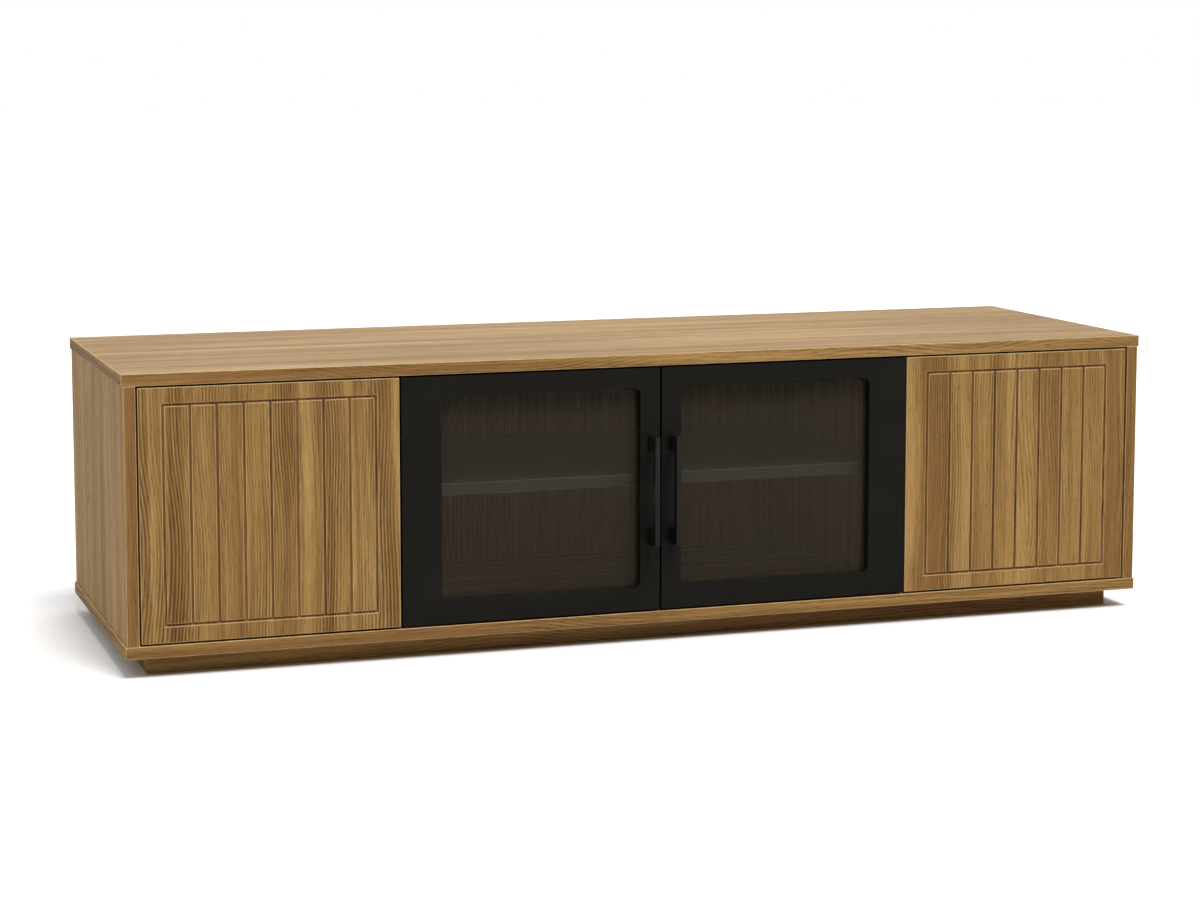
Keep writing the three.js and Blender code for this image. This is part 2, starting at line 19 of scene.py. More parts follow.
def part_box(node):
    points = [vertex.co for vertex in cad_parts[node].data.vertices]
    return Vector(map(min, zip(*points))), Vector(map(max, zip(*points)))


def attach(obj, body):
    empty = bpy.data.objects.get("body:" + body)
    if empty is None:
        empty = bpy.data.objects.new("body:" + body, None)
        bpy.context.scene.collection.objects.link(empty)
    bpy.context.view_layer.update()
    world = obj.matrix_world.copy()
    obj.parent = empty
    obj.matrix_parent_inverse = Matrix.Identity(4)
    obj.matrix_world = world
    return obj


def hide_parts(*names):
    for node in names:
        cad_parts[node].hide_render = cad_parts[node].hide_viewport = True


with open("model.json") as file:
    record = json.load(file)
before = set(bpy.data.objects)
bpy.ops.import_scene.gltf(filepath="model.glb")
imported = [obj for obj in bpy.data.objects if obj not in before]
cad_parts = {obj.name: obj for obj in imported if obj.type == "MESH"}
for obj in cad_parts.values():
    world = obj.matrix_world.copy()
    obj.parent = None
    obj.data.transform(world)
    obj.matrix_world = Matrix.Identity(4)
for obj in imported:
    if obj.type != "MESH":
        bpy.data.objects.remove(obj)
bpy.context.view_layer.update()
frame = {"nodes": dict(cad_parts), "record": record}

LOG = logging.getLogger("media_cabinet")
MM = 0.001
# The distance within which two places are the same.
TINY = 0.00005
# How far a cutter stands out of what it cuts through.
CLEAR = 1 * MM
# How nearly a face's normal or an edge follows an axis, to count as square to it.
FLAT = 0.999
ALONG = 0.99
# The distance within which a copied node's vertices are merged.
MERGE = 0.002 * MM
# Edges sharper than this, in degrees, are a board's corners and are rounded.
CORNER_ANGLE = 60.0
# Edges sharper than this, in degrees, are shaded sharp.
SMOOTH_ANGLE = 40.0

Colour = tuple[float, float, float, float]
Triple = tuple[float, float, float]
Span = tuple[float, float]
Socket = bpy.types.NodeSocket
Piece = bpy.types.Object
Fed = Union[float, tuple, Socket]


def srgb(red: float, green: float, blue: float) -> Colour:
    """Gives a screen colour as linear light.

    Args:
        red, green, blue: Its channels, of 0 to 255.

    Returns:
        The colour, with full alpha.
    """

    def linear(channel: float) -> float:
        """Turns one screen channel into linear light."""
        share = channel / 255
        return share / 12.92 if share <= 0.04045 else ((share + 0.055) / 1.055) ** 2.4

    return (linear(red), linear(green), linear(blue), 1.0)


def grey(level: float) -> Colour:
    """Gives an even grey of so much linear light."""
    return (level, level, level, 1.0)


def halfway(low: float, high: float) -> float:
    """Gives the middle of two values."""
    return (low + high) / 2


# ---- Shader nodes ------------------------------------------------------------------------


class NodeSheet:
    """Adds nodes to one shader tree and wires them."""

    def __init__(self, tree: bpy.types.NodeTree) -> None:
        """Keeps the nodes and links of a material's, group's or world's tree."""
        self.nodes = tree.nodes
        self.links = tree.links

    def feed(self, socket: Socket, value: Fed) -> None:
        """Links an output to a socket, or sets the socket's own value.

        Args:
            socket: The input to feed.
            value: An output, or a number, vector or colour.
        """
        if isinstance(value, Socket):
            self.links.new(value, socket)
        else:
            socket.default_value = value

    def add(self, kind: str, values: Sequence[Fed] = (), **settings: object) -> bpy.types.Node:
        """Adds a node, sets its own properties and feeds its first inputs.

        Args:
            kind: The node's type.
            values: What each input gets, in order.
            settings: The node's own properties.

        Returns:
            The node.
        """
        node = self.nodes.new(kind)
        for name, value in settings.items():
            setattr(node, name, value)
        for socket, value in zip(node.inputs, values):
            self.feed(socket, value)
        return node

    def math(self, operation: str, *values: Fed) -> Socket:
        """Adds a Math node and gives its result."""
        return self.add("ShaderNodeMath", values, operation=operation).outputs[0]

    def vector(self, operation: str, *values: Fed) -> bpy.types.Node:
        """Adds a Vector Math node."""
        return self.add("ShaderNodeVectorMath", values, operation=operation)

    def split(self, vector: Fed) -> tuple[Socket, ...]:
        """Gives a vector's three parts."""
        return tuple(self.add("ShaderNodeSeparateXYZ", [vector]).outputs)

    def merge(self, *parts: Fed) -> Socket:
        """Gives a vector made of three parts."""
        return self.add("ShaderNodeCombineXYZ", parts).outputs[0]

    def noise(self, vector: Fed, waves: Triple, detail: float = 2.0) -> Socket:
        """Adds noise.

        Args:
            vector: The place to read it at.
            waves: How many waves a metre it has along each part of the place.
            detail: How many finer octaves it has.

        Returns:
            The noise, of 0 to 1.
        """
        place = self.vector("MULTIPLY", vector, waves).outputs[0]
        node = self.add("ShaderNodeTexNoise")
        self.feed(node.inputs["Vector"], place)
        node.inputs["Scale"].default_value = 1.0
        node.inputs["Detail"].default_value = detail
        return node.outputs["Fac"]

    def swing(self, value: Fed, reach: float) -> Socket:
        """Turns a value of 0 to 1 into one from minus to plus the reach."""
        return self.math("MULTIPLY", self.math("SUBTRACT", value, 0.5), 2 * reach)

    def ease(self, value: Fed, span: Span) -> Socket:
        """Gives 0 below the span, 1 above it and a smooth rise across it."""
        values = (value, *span, 0.0, 1.0)
        return self.add("ShaderNodeMapRange", values, interpolation_type="SMOOTHSTEP").outputs[0]

    def between(self, share: Fed, first: Fed, second: Fed) -> Socket:
        """Mixes two colours.

        Args:
            share: The second colour's share.
            first, second: The colours at 0 and at 1.

        Returns:
            The mixed colour.
        """
        node = self.add("ShaderNodeMix", [share], data_type="RGBA")
        self.feed(node.inputs[6], first)
        self.feed(node.inputs[7], second)
        return node.outputs[2]

    def ramp(self, share: Fed, stops: Sequence[tuple[float, Colour]]) -> Socket:
        """Picks a colour from a row of them.

        Args:
            share: The place in the row, of 0 to 1.
            stops: Each colour with its place.

        Returns:
            The colour.
        """
        node = self.add("ShaderNodeValToRGB", [share])
        elements = node.color_ramp.elements
        for _ in stops[2:]:
            elements.new(0.5)
        for element, (place, colour) in zip(elements, stops):
            element.position = place
            element.color = colour
        return node.outputs[0]


def new_group(
    name: str, inputs: Sequence[tuple[str, str]], outputs: Sequence[str]
) -> tuple[bpy.types.NodeTree, NodeSheet, bpy.types.Node, bpy.types.Node]:
    """Makes an empty shader group.

    Args:
        name: The group's name.
        inputs: Each input's name and socket type.
        outputs: The names of its number outputs.

    Returns:
        The group's tree, a sheet on it, its input node and its output node.
    """
    tree = bpy.data.node_groups.new(name, "ShaderNodeTree")
    for label, kind in inputs:
        tree.interface.new_socket(label, in_out="INPUT", socket_type=kind)
    for label in outputs:
        tree.interface.new_socket(label, in_out="OUTPUT", socket_type="NodeSocketFloat")
    sheet = NodeSheet(tree)
    return tree, sheet, sheet.add("NodeGroupInput"), sheet.add("NodeGroupOutput")


@dataclass(frozen=True)
class OakFigure:
    """The figure of sliced oak, read in board coordinates: across, deep, along.

    Attributes:
        lean, waver: The waves a metre of the grain's slow drift and of its fine waver.
        lean_reach, waver_reach: How far they carry the grain, in metres.
        leaf_width: The width after which the leaf is mirrored.
        heart_gap: The least distance to the log's heart.
        heart, heart_reach: How the heart wanders along the log.
        years, years_reach: How the rings' spacing varies from year to year.
        ring_rise, ring_fall: The shares of a ring over which its line darkens and fades.
        strength, strength_span: Where the rings show strongly.
        wide, slim, wide_share: The broad and the slim bands, and the broad ones' share.
        fibres, ticks: The waves a metre of the fibres and of the pores.
        tick_span, pore_floor: The pores' size, and their strength between the rings.
        fibre_height: The fibres' share of the relief.
    """

    lean: Triple = (5.0, 5.0, 1.7)
    lean_reach: float = 0.016
    waver: Triple = (75.0, 75.0, 80.0)
    waver_reach: float = 0.0007
    leaf_width: float = 0.29
    heart_gap: float = 0.09
    heart: Triple = (0.9, 0.9, 2.1)
    heart_reach: float = 0.07
    years: Triple = (30.0, 1.0, 1.0)
    years_reach: float = 1.3
    ring_rise: Span = (0.0, 0.25)
    ring_fall: Span = (0.35, 0.95)
    strength: Triple = (27.0, 27.0, 1.6)
    strength_span: Span = (0.34, 0.68)
    wide: Triple = (40.0, 40.0, 0.8)
    slim: Triple = (170.0, 170.0, 2.0)
    wide_share: float = 0.6
    fibres: Triple = (480.0, 480.0, 14.0)
    ticks: Triple = (760.0, 760.0, 62.0)
    tick_span: Span = (0.55, 0.67)
    pore_floor: float = 0.45
    fibre_height: float = 0.35

    def drift(self, sheet: NodeSheet, board: Fed, across: Fed) -> Socket:
        """Carries the grain sideways by its lean and its waver.

        Args:
            sheet: The group's sheet.
            board: The place on the board.
            across: Its part across the board.

        Returns:
            The part across the board, drifted.
        """
        lean = sheet.swing(sheet.noise(board, self.lean, 1.0), self.lean_reach)
        waver = sheet.swing(sheet.noise(board, self.waver), self.waver_reach)
        return sheet.math("ADD", across, sheet.math("ADD", lean, waver))

    def rings(self, sheet: NodeSheet, board: Fed, drifted: Sequence[Fed], width: Fed) -> Socket:
        """Draws the year rings as lines round a distant heart.

        Args:
            sheet: The group's sheet.
            board: The place on the board.
            drifted: The place's three parts, drifted with the grain.
            width: The distance between two rings.

        Returns:
            The rings' strength, of 0 to 1.
        """
        across, deep, _ = drifted
        folded = sheet.math("ADD", sheet.math("PINGPONG", across, self.leaf_width), self.heart_gap)
        wander = sheet.swing(sheet.noise(board, self.heart, 1.0), self.heart_reach)
        heart = sheet.math("ADD", wander, deep)
        squares = [sheet.math("MULTIPLY", part, part) for part in (folded, heart)]
        radius = sheet.math("SQRT", sheet.math("ADD", *squares))
        years = sheet.noise(sheet.merge(radius, 0.0, 0.0), self.years, 1.0)
        turns = sheet.math("DIVIDE", radius, width)
        turn = sheet.math("FRACT", sheet.math("ADD", turns, sheet.swing(years, self.years_reach)))
        rise = sheet.ease(turn, self.ring_rise)
        fall = sheet.math("SUBTRACT", 1.0, sheet.ease(turn, self.ring_fall))
        shown = sheet.ease(sheet.noise(sheet.merge(*drifted), self.strength), self.strength_span)
        return sheet.math("MULTIPLY", sheet.math("MULTIPLY", rise, fall), shown)

    def build(self) -> bpy.types.NodeTree:
        """Builds the group.

        Returns:
            A group that puts out ring lines, broad bands, fibres, pores and a relief height.
        """
        inputs = [("Board", "NodeSocketVector"), ("Ring Width", "NodeSocketFloat")]
        outputs = ["Rings", "Bands", "Fibres", "Pores", "Height"]
        tree, sheet, entry, leave = new_group("oak_figure", inputs, outputs)
        board = entry.outputs["Board"]
        across, deep, along = sheet.split(board)
        drifted = (self.drift(sheet, board, across), deep, along)
        rings = self.rings(sheet, board, drifted, entry.outputs["Ring Width"])
        place = sheet.merge(*drifted)
        wide = sheet.math("MULTIPLY", sheet.noise(place, self.wide, 1.0), self.wide_share)
        slim = sheet.math("MULTIPLY", sheet.noise(place, self.slim), 1 - self.wide_share)
        bands = sheet.math("ADD", wide, slim)
        fibres = sheet.noise(place, self.fibres, 3.0)
        ticks = sheet.ease(sheet.noise(place, self.ticks, 1.0), self.tick_span)
        pores = sheet.math("MULTIPLY", ticks, sheet.math("ADD", self.pore_floor, rings))
        hollow = sheet.math("ADD", pores, sheet.math("MULTIPLY", fibres, self.fibre_height))
        for label, value in zip(outputs, (rings, bands, fibres, pores, hollow)):
            sheet.feed(leave.inputs[label], value)
        return tree


@dataclass(frozen=True)
class SurfaceFilm:
    """The slight unevenness of a sprayed or rolled film, and thin dust.

    Attributes:
        smears, specks, peel: Their waves a metre.
        speck_span: The specks' size.
    """

    smears: Triple = (9.0, 9.0, 14.0)
    specks: Triple = (1600.0, 1600.0, 1600.0)
    speck_span: Span = (0.71, 0.76)
    peel: Triple = (420.0, 420.0, 420.0)

    def build(self) -> bpy.types.NodeTree:
        """Builds the group.

        Returns:
            A group that puts out smears, specks and an orange peel height.
        """
        outputs = ["Smears", "Specks", "Height"]
        inputs = [("Place", "NodeSocketVector")]
        tree, sheet, entry, leave = new_group("surface_film", inputs, outputs)
        place = entry.outputs["Place"]
        smears = sheet.noise(place, self.smears, 4.0)
        specks = sheet.ease(sheet.noise(place, self.specks, 1.0), self.speck_span)
        for label, value in zip(outputs, (smears, specks, sheet.noise(place, self.peel))):
            sheet.feed(leave.inputs[label], value)
        return tree


Pattern = Union[OakFigure, SurfaceFilm]
GROUPS: dict[Pattern, bpy.types.NodeTree] = {}


def shared_node(sheet: NodeSheet, pattern: Pattern, *values: Fed) -> bpy.types.Node:
    """Adds a node of a pattern's group, which is built the first time it is asked for.

    Args:
        sheet: The sheet of the material that uses it.
        pattern: The pattern.
        values: What the node's inputs get, in order.

    Returns:
        The group's node.
    """
    if pattern not in GROUPS:
        GROUPS[pattern] = pattern.build()
    return sheet.add("ShaderNodeGroup", values, node_tree=GROUPS[pattern])


def new_material(name: str) -> tuple[bpy.types.Material, NodeSheet, bpy.types.Node]:
    """Makes a material.

    Args:
        name: The material's name.

    Returns:
        The material, a sheet on its tree and its Principled node.
    """
    material = bpy.data.materials.new(name)
    material.use_nodes = True
    sheet = NodeSheet(material.node_tree)
    return material, sheet, material.node_tree.nodes["Principled BSDF"]


def add_relief(sheet: NodeSheet, shader: bpy.types.Node, height: Fed, depth: float) -> None:
    """Gives a shader a relief.

    Args:
        sheet: The material's sheet.
        shader: The shader.
        height: The relief's height, of 0 to 1.
        depth: How many metres a height of 1 stands for.
    """
    bump = sheet.add("ShaderNodeBump")
    bump.inputs["Strength"].default_value = 1.0
    bump.inputs["Distance"].default_value = depth
    sheet.feed(bump.inputs["Height"], height)
    sheet.feed(shader.inputs["Normal"], bump.outputs["Normal"])


# ---- Finishes ----------------------------------------------------------------------------


class Lay(Enum):
    """How a board lies: its across, deep and along axes, as indices into X, Y and Z."""

    UPRIGHT_FRONT = (0, 1, 2)
    UPRIGHT_SIDE = (1, 0, 2)
    FLAT_LONG = (1, 2, 0)
    EDGE_LONG = (2, 1, 0)
    EDGE_DEEP = (2, 0, 1)


@dataclass(frozen=True)
class Tones:
    """The colours of one oak: its bands from pale to warm, and its rings and pores."""

    pale: Colour
    middle: Colour
    warm: Colour
    dark: Colour


FRONT_TONES = Tones(
    srgb(198, 156, 94), srgb(177, 136, 77), srgb(156, 114, 65), srgb(90, 58, 28)
)
# Painted sheen: the top's oak, paler and greyer than the front's, stands in for the sheen of light
# on the top.
TOP_PAINTED_SHEEN_TONES = Tones(
    srgb(181, 151, 105), srgb(167, 136, 91), srgb(154, 121, 78), srgb(98, 71, 42)
)
# Painted sheen: the sides' oak, paler than the front's, stands in for the sheen of light on the
# sides.
SIDE_PAINTED_SHEEN_TONES = Tones(
    srgb(214, 174, 110), srgb(197, 155, 92), srgb(179, 137, 78), srgb(108, 76, 40)
)
# Painted shade: darker oak for the deep parts of the door's grooves, standing in for the shadow
# inside them.
GROOVE_PAINTED_SHADE_TONES = Tones(
    srgb(174, 133, 82), srgb(156, 115, 68), srgb(138, 99, 57), srgb(88, 57, 30)
)
# Painted highlight: pale oak for the rounded arrises of boards and doors, standing in for light
# caught on the edges.
ARRIS_PAINTED_HIGHLIGHT_TONES = Tones(
    srgb(244, 212, 158), srgb(234, 199, 144), srgb(222, 184, 128), srgb(182, 142, 92)
)


@dataclass(frozen=True)
class OakVeneer:
    """Sliced oak under a satin lacquer.

    Attributes:
        name: The material's name.
        lay: How the board lies, which sets the grain's direction.
        start: The place in the log that the leaf was cut from, in metres.
        tones: Its colours.
        contrast: How strongly its rings show.
        ring_width: The distance between two rings.
        slot: The record's slot for it.
        band_stops: Where the bands turn pale, middle and warm.
        ring_dark, fibre_dark, pore_dark: How dark rings, fibres and pores are.
        fibre_span: The fibres' width.
        roughness, fibre_roughness: The lacquer's roughness, and what the fibres add.
        specular: How strongly it mirrors where it faces the eye.
        relief: The depth of its pores, in metres.
    """

    name: str
    lay: Lay
    start: Triple
    tones: Tones = FRONT_TONES
    contrast: float = 1.0
    ring_width: float = 0.0036
    slot: str = "oak_veneer"
    band_stops: Triple = (0.38, 0.5, 0.62)
    ring_dark: float = 0.7
    fibre_span: Span = (0.42, 0.72)
    fibre_dark: float = 0.38
    pore_dark: float = 0.5
    roughness: float = 0.47
    fibre_roughness: float = 0.2
    specular: float = 0.2
    relief: float = 0.00012

    def material(self) -> bpy.types.Material:
        """Builds the material.

        Returns:
            The material.
        """
        material, sheet, shader = new_material(self.name)
        axes = sheet.split(sheet.add("ShaderNodeTexCoord").outputs["Object"])
        board = sheet.merge(*(axes[index] for index in self.lay.value))
        shifted = sheet.add("ShaderNodeMapping", [board])
        shifted.inputs["Location"].default_value = self.start
        place = shifted.outputs["Vector"]
        figure = shared_node(sheet, OakFigure(), place, self.ring_width).outputs
        tones = self.tones
        stops = list(zip(self.band_stops, (tones.pale, tones.middle, tones.warm)))
        colour = sheet.ramp(figure["Bands"], stops)
        for mark, share in (
            (figure["Rings"], self.ring_dark * self.contrast),
            (sheet.ease(figure["Fibres"], self.fibre_span), self.fibre_dark),
            (figure["Pores"], self.pore_dark),
        ):
            colour = sheet.between(sheet.math("MULTIPLY", mark, share), colour, tones.dark)
        sheet.feed(shader.inputs["Base Color"], colour)
        added = sheet.math("MULTIPLY", figure["Fibres"], self.fibre_roughness)
        sheet.feed(shader.inputs["Roughness"], sheet.math("ADD", self.roughness, added))
        shader.inputs["Specular IOR Level"].default_value = self.specular
        add_relief(sheet, shader, sheet.math("SUBTRACT", 1.0, figure["Height"]), self.relief)
        return material


@dataclass(frozen=True)
class Film:
    """An even lacquer, laminate, metal or plastic surface with its slight faults.

    Attributes:
        name: The material's name.
        colour: Its colour, and dust: the colour that specks and smears lean to.
        roughness: Its roughness, and uneven: how far smears change it.
        metallic: 1 on bare metal.
        peel: The depth of its orange peel, in metres.
        speckle: How strongly specks show.
        specular: How strongly it mirrors where it faces the eye.
        haze, haze_span: How strongly smears show, and from where to where.
        slot: The record's slot for it, where that isn't its name.
    """

    name: str
    colour: Colour
    dust: Colour
    roughness: float
    uneven: float = 0.08
    metallic: float = 0.0
    peel: float = 0.00002
    speckle: float = 0.1
    specular: float = 0.5
    haze: float = 0.12
    haze_span: Span = (0.4, 0.8)
    slot: str = ""

    def material(self) -> bpy.types.Material:
        """Builds the material.

        Returns:
            The material.
        """
        material, sheet, shader = new_material(self.name)
        place = sheet.add("ShaderNodeTexCoord").outputs["Object"]
        film = shared_node(sheet, SurfaceFilm(), place).outputs
        haze = sheet.math("MULTIPLY", sheet.ease(film["Smears"], self.haze_span), self.haze)
        hazed = sheet.between(haze, self.colour, self.dust)
        speck = sheet.math("MULTIPLY", film["Specks"], self.speckle)
        sheet.feed(shader.inputs["Base Color"], sheet.between(speck, hazed, self.dust))
        added = sheet.math("MULTIPLY", film["Smears"], self.uneven)
        rough = sheet.math("ADD", self.roughness - self.uneven / 2, added)
        sheet.feed(shader.inputs["Roughness"], rough)
        shader.inputs["Metallic"].default_value = self.metallic
        shader.inputs["Specular IOR Level"].default_value = self.specular
        add_relief(sheet, shader, film["Height"], self.peel)
        return material


@dataclass(frozen=True)
class TintedGlass:
    """A dark, clear pane that light passes straight through.

    Attributes:
        name: The material's name.
        tint: The colour of its body.
        cover: The share of light that it stops.
        roughness, haze: Its roughness, and what smears add.
        specular: How strongly it mirrors where it faces the eye.
        slot: The record's slot for it, where that isn't its name.
    """

    name: str
    tint: Colour = srgb(84, 75, 61)
    cover: float = 0.25
    roughness: float = 0.02
    haze: float = 0.04
    specular: float = 0.2
    slot: str = ""

    def material(self) -> bpy.types.Material:
        """Builds the material.

        Returns:
            The material.
        """
        material, sheet, shader = new_material(self.name)
        place = sheet.add("ShaderNodeTexCoord").outputs["Object"]
        film = shared_node(sheet, SurfaceFilm(), place).outputs
        haze = sheet.math("MULTIPLY", film["Smears"], self.haze)
        sheet.feed(shader.inputs["Roughness"], sheet.math("ADD", self.roughness, haze))
        shader.inputs["Base Color"].default_value = self.tint
        shader.inputs["Alpha"].default_value = self.cover
        shader.inputs["Specular IOR Level"].default_value = self.specular
        return material


def leaf(name: str, lay: Lay, *start: float, **changes: object) -> OakVeneer:
    """Names one leaf of oak veneer and where in the log it was cut."""
    return OakVeneer("oak_" + name, lay, start, **changes)


class Finish(Enum):
    """Every finish of the cabinet."""

    # The top takes the paler tones of a painted sheen.
    OAK_TOP = leaf("top", Lay.FLAT_LONG, 0.31, 0.02, 0.4, contrast=0.85, tones=TOP_PAINTED_SHEEN_TONES)
    OAK_BASE = leaf("base", Lay.FLAT_LONG, 1.63, 0.05, 2.7, contrast=0.9)
    # The side panels take the paler tones of a painted sheen.
    OAK_SIDE_LEFT = leaf(
        "side_left", Lay.UPRIGHT_SIDE, 2.2, 0.03, 1.1, contrast=0.7, tones=SIDE_PAINTED_SHEEN_TONES
    )
    OAK_SIDE_RIGHT = leaf(
        "side_right", Lay.UPRIGHT_SIDE, 2.31, 0.03, 3.2, contrast=0.7, tones=SIDE_PAINTED_SHEEN_TONES
    )
    OAK_INSIDE = leaf("inside", Lay.UPRIGHT_SIDE, 5.1, 0.02, 3.3, contrast=0.6)
    OAK_BACK = leaf("back", Lay.UPRIGHT_FRONT, 7.7, 0.03, 0.9, contrast=0.4)
    OAK_PLINTH = leaf("plinth", Lay.EDGE_LONG, 4.2, 0.02, 6.1, contrast=0.9)
    OAK_PLINTH_END = leaf("plinth_end", Lay.FLAT_LONG, 4.4, 0.02, 1.1)
    OAK_EDGE_LONG = leaf("edge_long", Lay.EDGE_LONG, 1.2, 0.03, 7.9, contrast=0.8)
    OAK_EDGE_DEEP = leaf("edge_deep", Lay.EDGE_DEEP, 2.6, 0.04, 3.8, contrast=0.7)
    OAK_EDGE_UPRIGHT = leaf("edge_upright", Lay.UPRIGHT_FRONT, 8.3, 0.03, 6.6, contrast=0.7)
    OAK_DOOR_LEFT = leaf("door_left", Lay.UPRIGHT_FRONT, 0.87, 0.02, 2.1, contrast=1.3)
    OAK_DOOR_RIGHT = leaf(
        "door_right", Lay.UPRIGHT_FRONT, 6.35, 0.03, 4.6, contrast=0.8, ring_width=0.0032
    )
    # Painted shade in the deep parts of the doors' grooves.
    OAK_GROOVE = leaf("groove", Lay.UPRIGHT_FRONT, 0.87, 0.02, 2.1, tones=GROOVE_PAINTED_SHADE_TONES)
    # Painted highlight on the rounded arrises.
    OAK_ARRIS = leaf("arris", Lay.UPRIGHT_FRONT, 0.55, 0.02, 2.1, tones=ARRIS_PAINTED_HIGHLIGHT_TONES)
    BLACK = Film("black_lacquer", srgb(27, 26, 22), srgb(62, 59, 52), 0.4, specular=0.12)
    SHELF = Film("shelf_laminate", srgb(60, 59, 57), srgb(90, 88, 84), 0.5, 0.12)
    # Painted highlight: a pale line on the shelves' rounded arrises.
    SHELF_ARRIS = Film("shelf_arris_painted_highlight", srgb(118, 117, 114), srgb(140, 138, 134), 0.4)
    GLASS = TintedGlass("tinted_glass")
    HANDLE = Film("handle_metal", srgb(22, 22, 21), srgb(70, 70, 70), 0.22, 0.06, specular=0.3)
    STEEL = Film("hinge_steel", srgb(198, 199, 200), srgb(150, 150, 148), 0.34, 0.16, 1.0)
    PLASTIC = Film("latch_plastic", srgb(118, 120, 122), srgb(150, 150, 148), 0.5)
    RUBBER = Film(
        "clear_bumper", srgb(196, 196, 190), srgb(160, 158, 150), 0.3, slot="latch_plastic"
    )

    @property
    def slot(self) -> str:
        """The record's slot for a piece of this finish."""
        return self.value.slot or self.value.name


FINISHED: dict[Finish, bpy.types.Material] = {}


def material_of(finish: Finish) -> bpy.types.Material:
    """Gives a finish's material, built the first time it is asked for.

    Args:
        finish: The finish.

    Returns:
        Its material.
    """
    if finish not in FINISHED:
        FINISHED[finish] = finish.value.material()
    return FINISHED[finish]


# ---- Shaping by operators ----------------------------------------------------------------


class Pick(Enum):
    """What a test in edit mode picks."""

    VERTICES = "VERT"
    EDGES = "EDGE"
    FACES = "FACE"


def select(*pieces: Piece) -> None:
    """Selects only these pieces and makes the first one active.

    Args:
        pieces: The pieces; with none, nothing stays selected.
    """
    bpy.ops.object.select_all(action="DESELECT")
    for piece in pieces:
        piece.select_set(True)
    if pieces:
        bpy.context.view_layer.objects.active = pieces[0]


@contextmanager
def shaping(piece: Piece, pick: Pick, test: Callable[..., bool]) -> Iterator[Piece]:
    """Opens a piece in edit mode with only the elements that a test picks selected.

    Args:
        piece: The piece to shape.
        pick: The kind of element.
        test: Gets a vertex's place, an edge's two ends, or a face's middle and normal.

    Yields:
        The piece, in edit mode.
    """
    select(piece)
    bpy.ops.object.mode_set(mode="EDIT")
    bpy.ops.mesh.select_mode(type=pick.value)
    bpy.ops.mesh.select_all(action="DESELECT")
    bpy.ops.object.mode_set(mode="OBJECT")
    mesh = piece.data
    if pick is Pick.VERTICES:
        for vertex in mesh.vertices:
            vertex.select = test(vertex.co)
    elif pick is Pick.EDGES:
        for edge in mesh.edges:
            first, second = (mesh.vertices[index].co for index in edge.vertices)
            edge.select = test(first, second)
    else:
        for face in mesh.polygons:
            face.select = test(face.center, face.normal)
    bpy.ops.object.mode_set(mode="EDIT")
    yield piece
    bpy.ops.object.mode_set(mode="OBJECT")


def apply_modifier(piece: Piece, kind: str, **settings: object) -> None:
    """Adds a modifier to a piece and applies it.

    Args:
        piece: The piece.
        kind: The modifier's type.
        settings: The modifier's own properties.
    """
    select(piece)
    modifier = piece.modifiers.new(kind.lower(), kind)
    for name, value in settings.items():
        setattr(modifier, name, value)
    bpy.ops.object.modifier_apply(modifier=modifier.name)


def started(name: str) -> Piece:
    """Names the form that was just added and settles its place.

    Args:
        name: The piece's name.

    Returns:
        The piece, unrotated and unscaled at the origin.
    """
    piece = bpy.context.active_object
    piece.name = name
    bpy.ops.object.transform_apply(location=True, rotation=True, scale=True)
    return piece


def block(name: str, low: Sequence[float], high: Sequence[float]) -> Piece:
    """Starts a piece from a box.

    Args:
        name: The piece's name.
        low, high: Two opposite corners, in any order.

    Returns:
        The piece.
    """
    corners = [sorted(pair) for pair in zip(low, high)]
    middle = [halfway(*ends) for ends in corners]
    size = [end - start for start, end in corners]
    select()
    bpy.ops.mesh.primitive_cube_add(size=1, location=middle, scale=size)
    return started(name)


def rod(name: str, radius: float, depth: float, sides: int = 24) -> Piece:
    """Starts a piece from an upright cylinder that stands on the origin.

    Args:
        name: The piece's name.
        radius, depth: Its radius and height.
        sides: The number of its sides.

    Returns:
        The piece.
    """
    select()
    bpy.ops.mesh.primitive_cylinder_add(
        vertices=sides, radius=radius, depth=depth, location=(0, 0, depth / 2)
    )
    return started(name)


def round_edges(
    piece: Piece, test: Callable[[Vector, Vector], bool], radius: float, segments: int
) -> None:
    """Rounds the edges that a test picks.

    Args:
        piece: The piece.
        test: Gets an edge's two ends.
        radius: The rounding's radius.
        segments: The number of faces that it is made of.
    """
    with shaping(piece, Pick.EDGES, test):
        bpy.ops.mesh.bevel(
            offset_type="OFFSET", offset=radius, segments=segments, affect="EDGES", profile=0.5
        )


def runs_along(axis: int) -> Callable[[Vector, Vector], bool]:
    """Gives a test for edges that run along one axis."""
    return lambda first, second: abs((second - first)[axis]) > ALONG * (second - first).length


def above(height: float) -> Callable[[Vector, Vector], bool]:
    """Gives a test for edges that lie above a height."""
    return lambda first, second: min(first.z, second.z) > height


def cut(piece: Piece, cutter: Piece) -> None:
    """Cuts a cutter out of a piece and deletes the cutter."""
    apply_modifier(piece, "BOOLEAN", operation="DIFFERENCE", object=cutter, solver="EXACT")
    bpy.data.objects.remove(cutter)


def soften(
    piece: Piece, width: float, segments: int = 2, angle: float = CORNER_ANGLE, slot: int = -1
) -> None:
    """Rounds every edge sharper than an angle.

    Args:
        piece: The piece.
        width: The rounding's width.
        segments: The number of faces that it is made of.
        angle: The angle, in degrees.
        slot: The slot that the new faces take, or -1 for their neighbours'.
    """
    apply_modifier(
        piece,
        "BEVEL",
        width=width,
        segments=segments,
        limit_method="ANGLE",
        angle_limit=math.radians(angle),
        material=slot,
    )


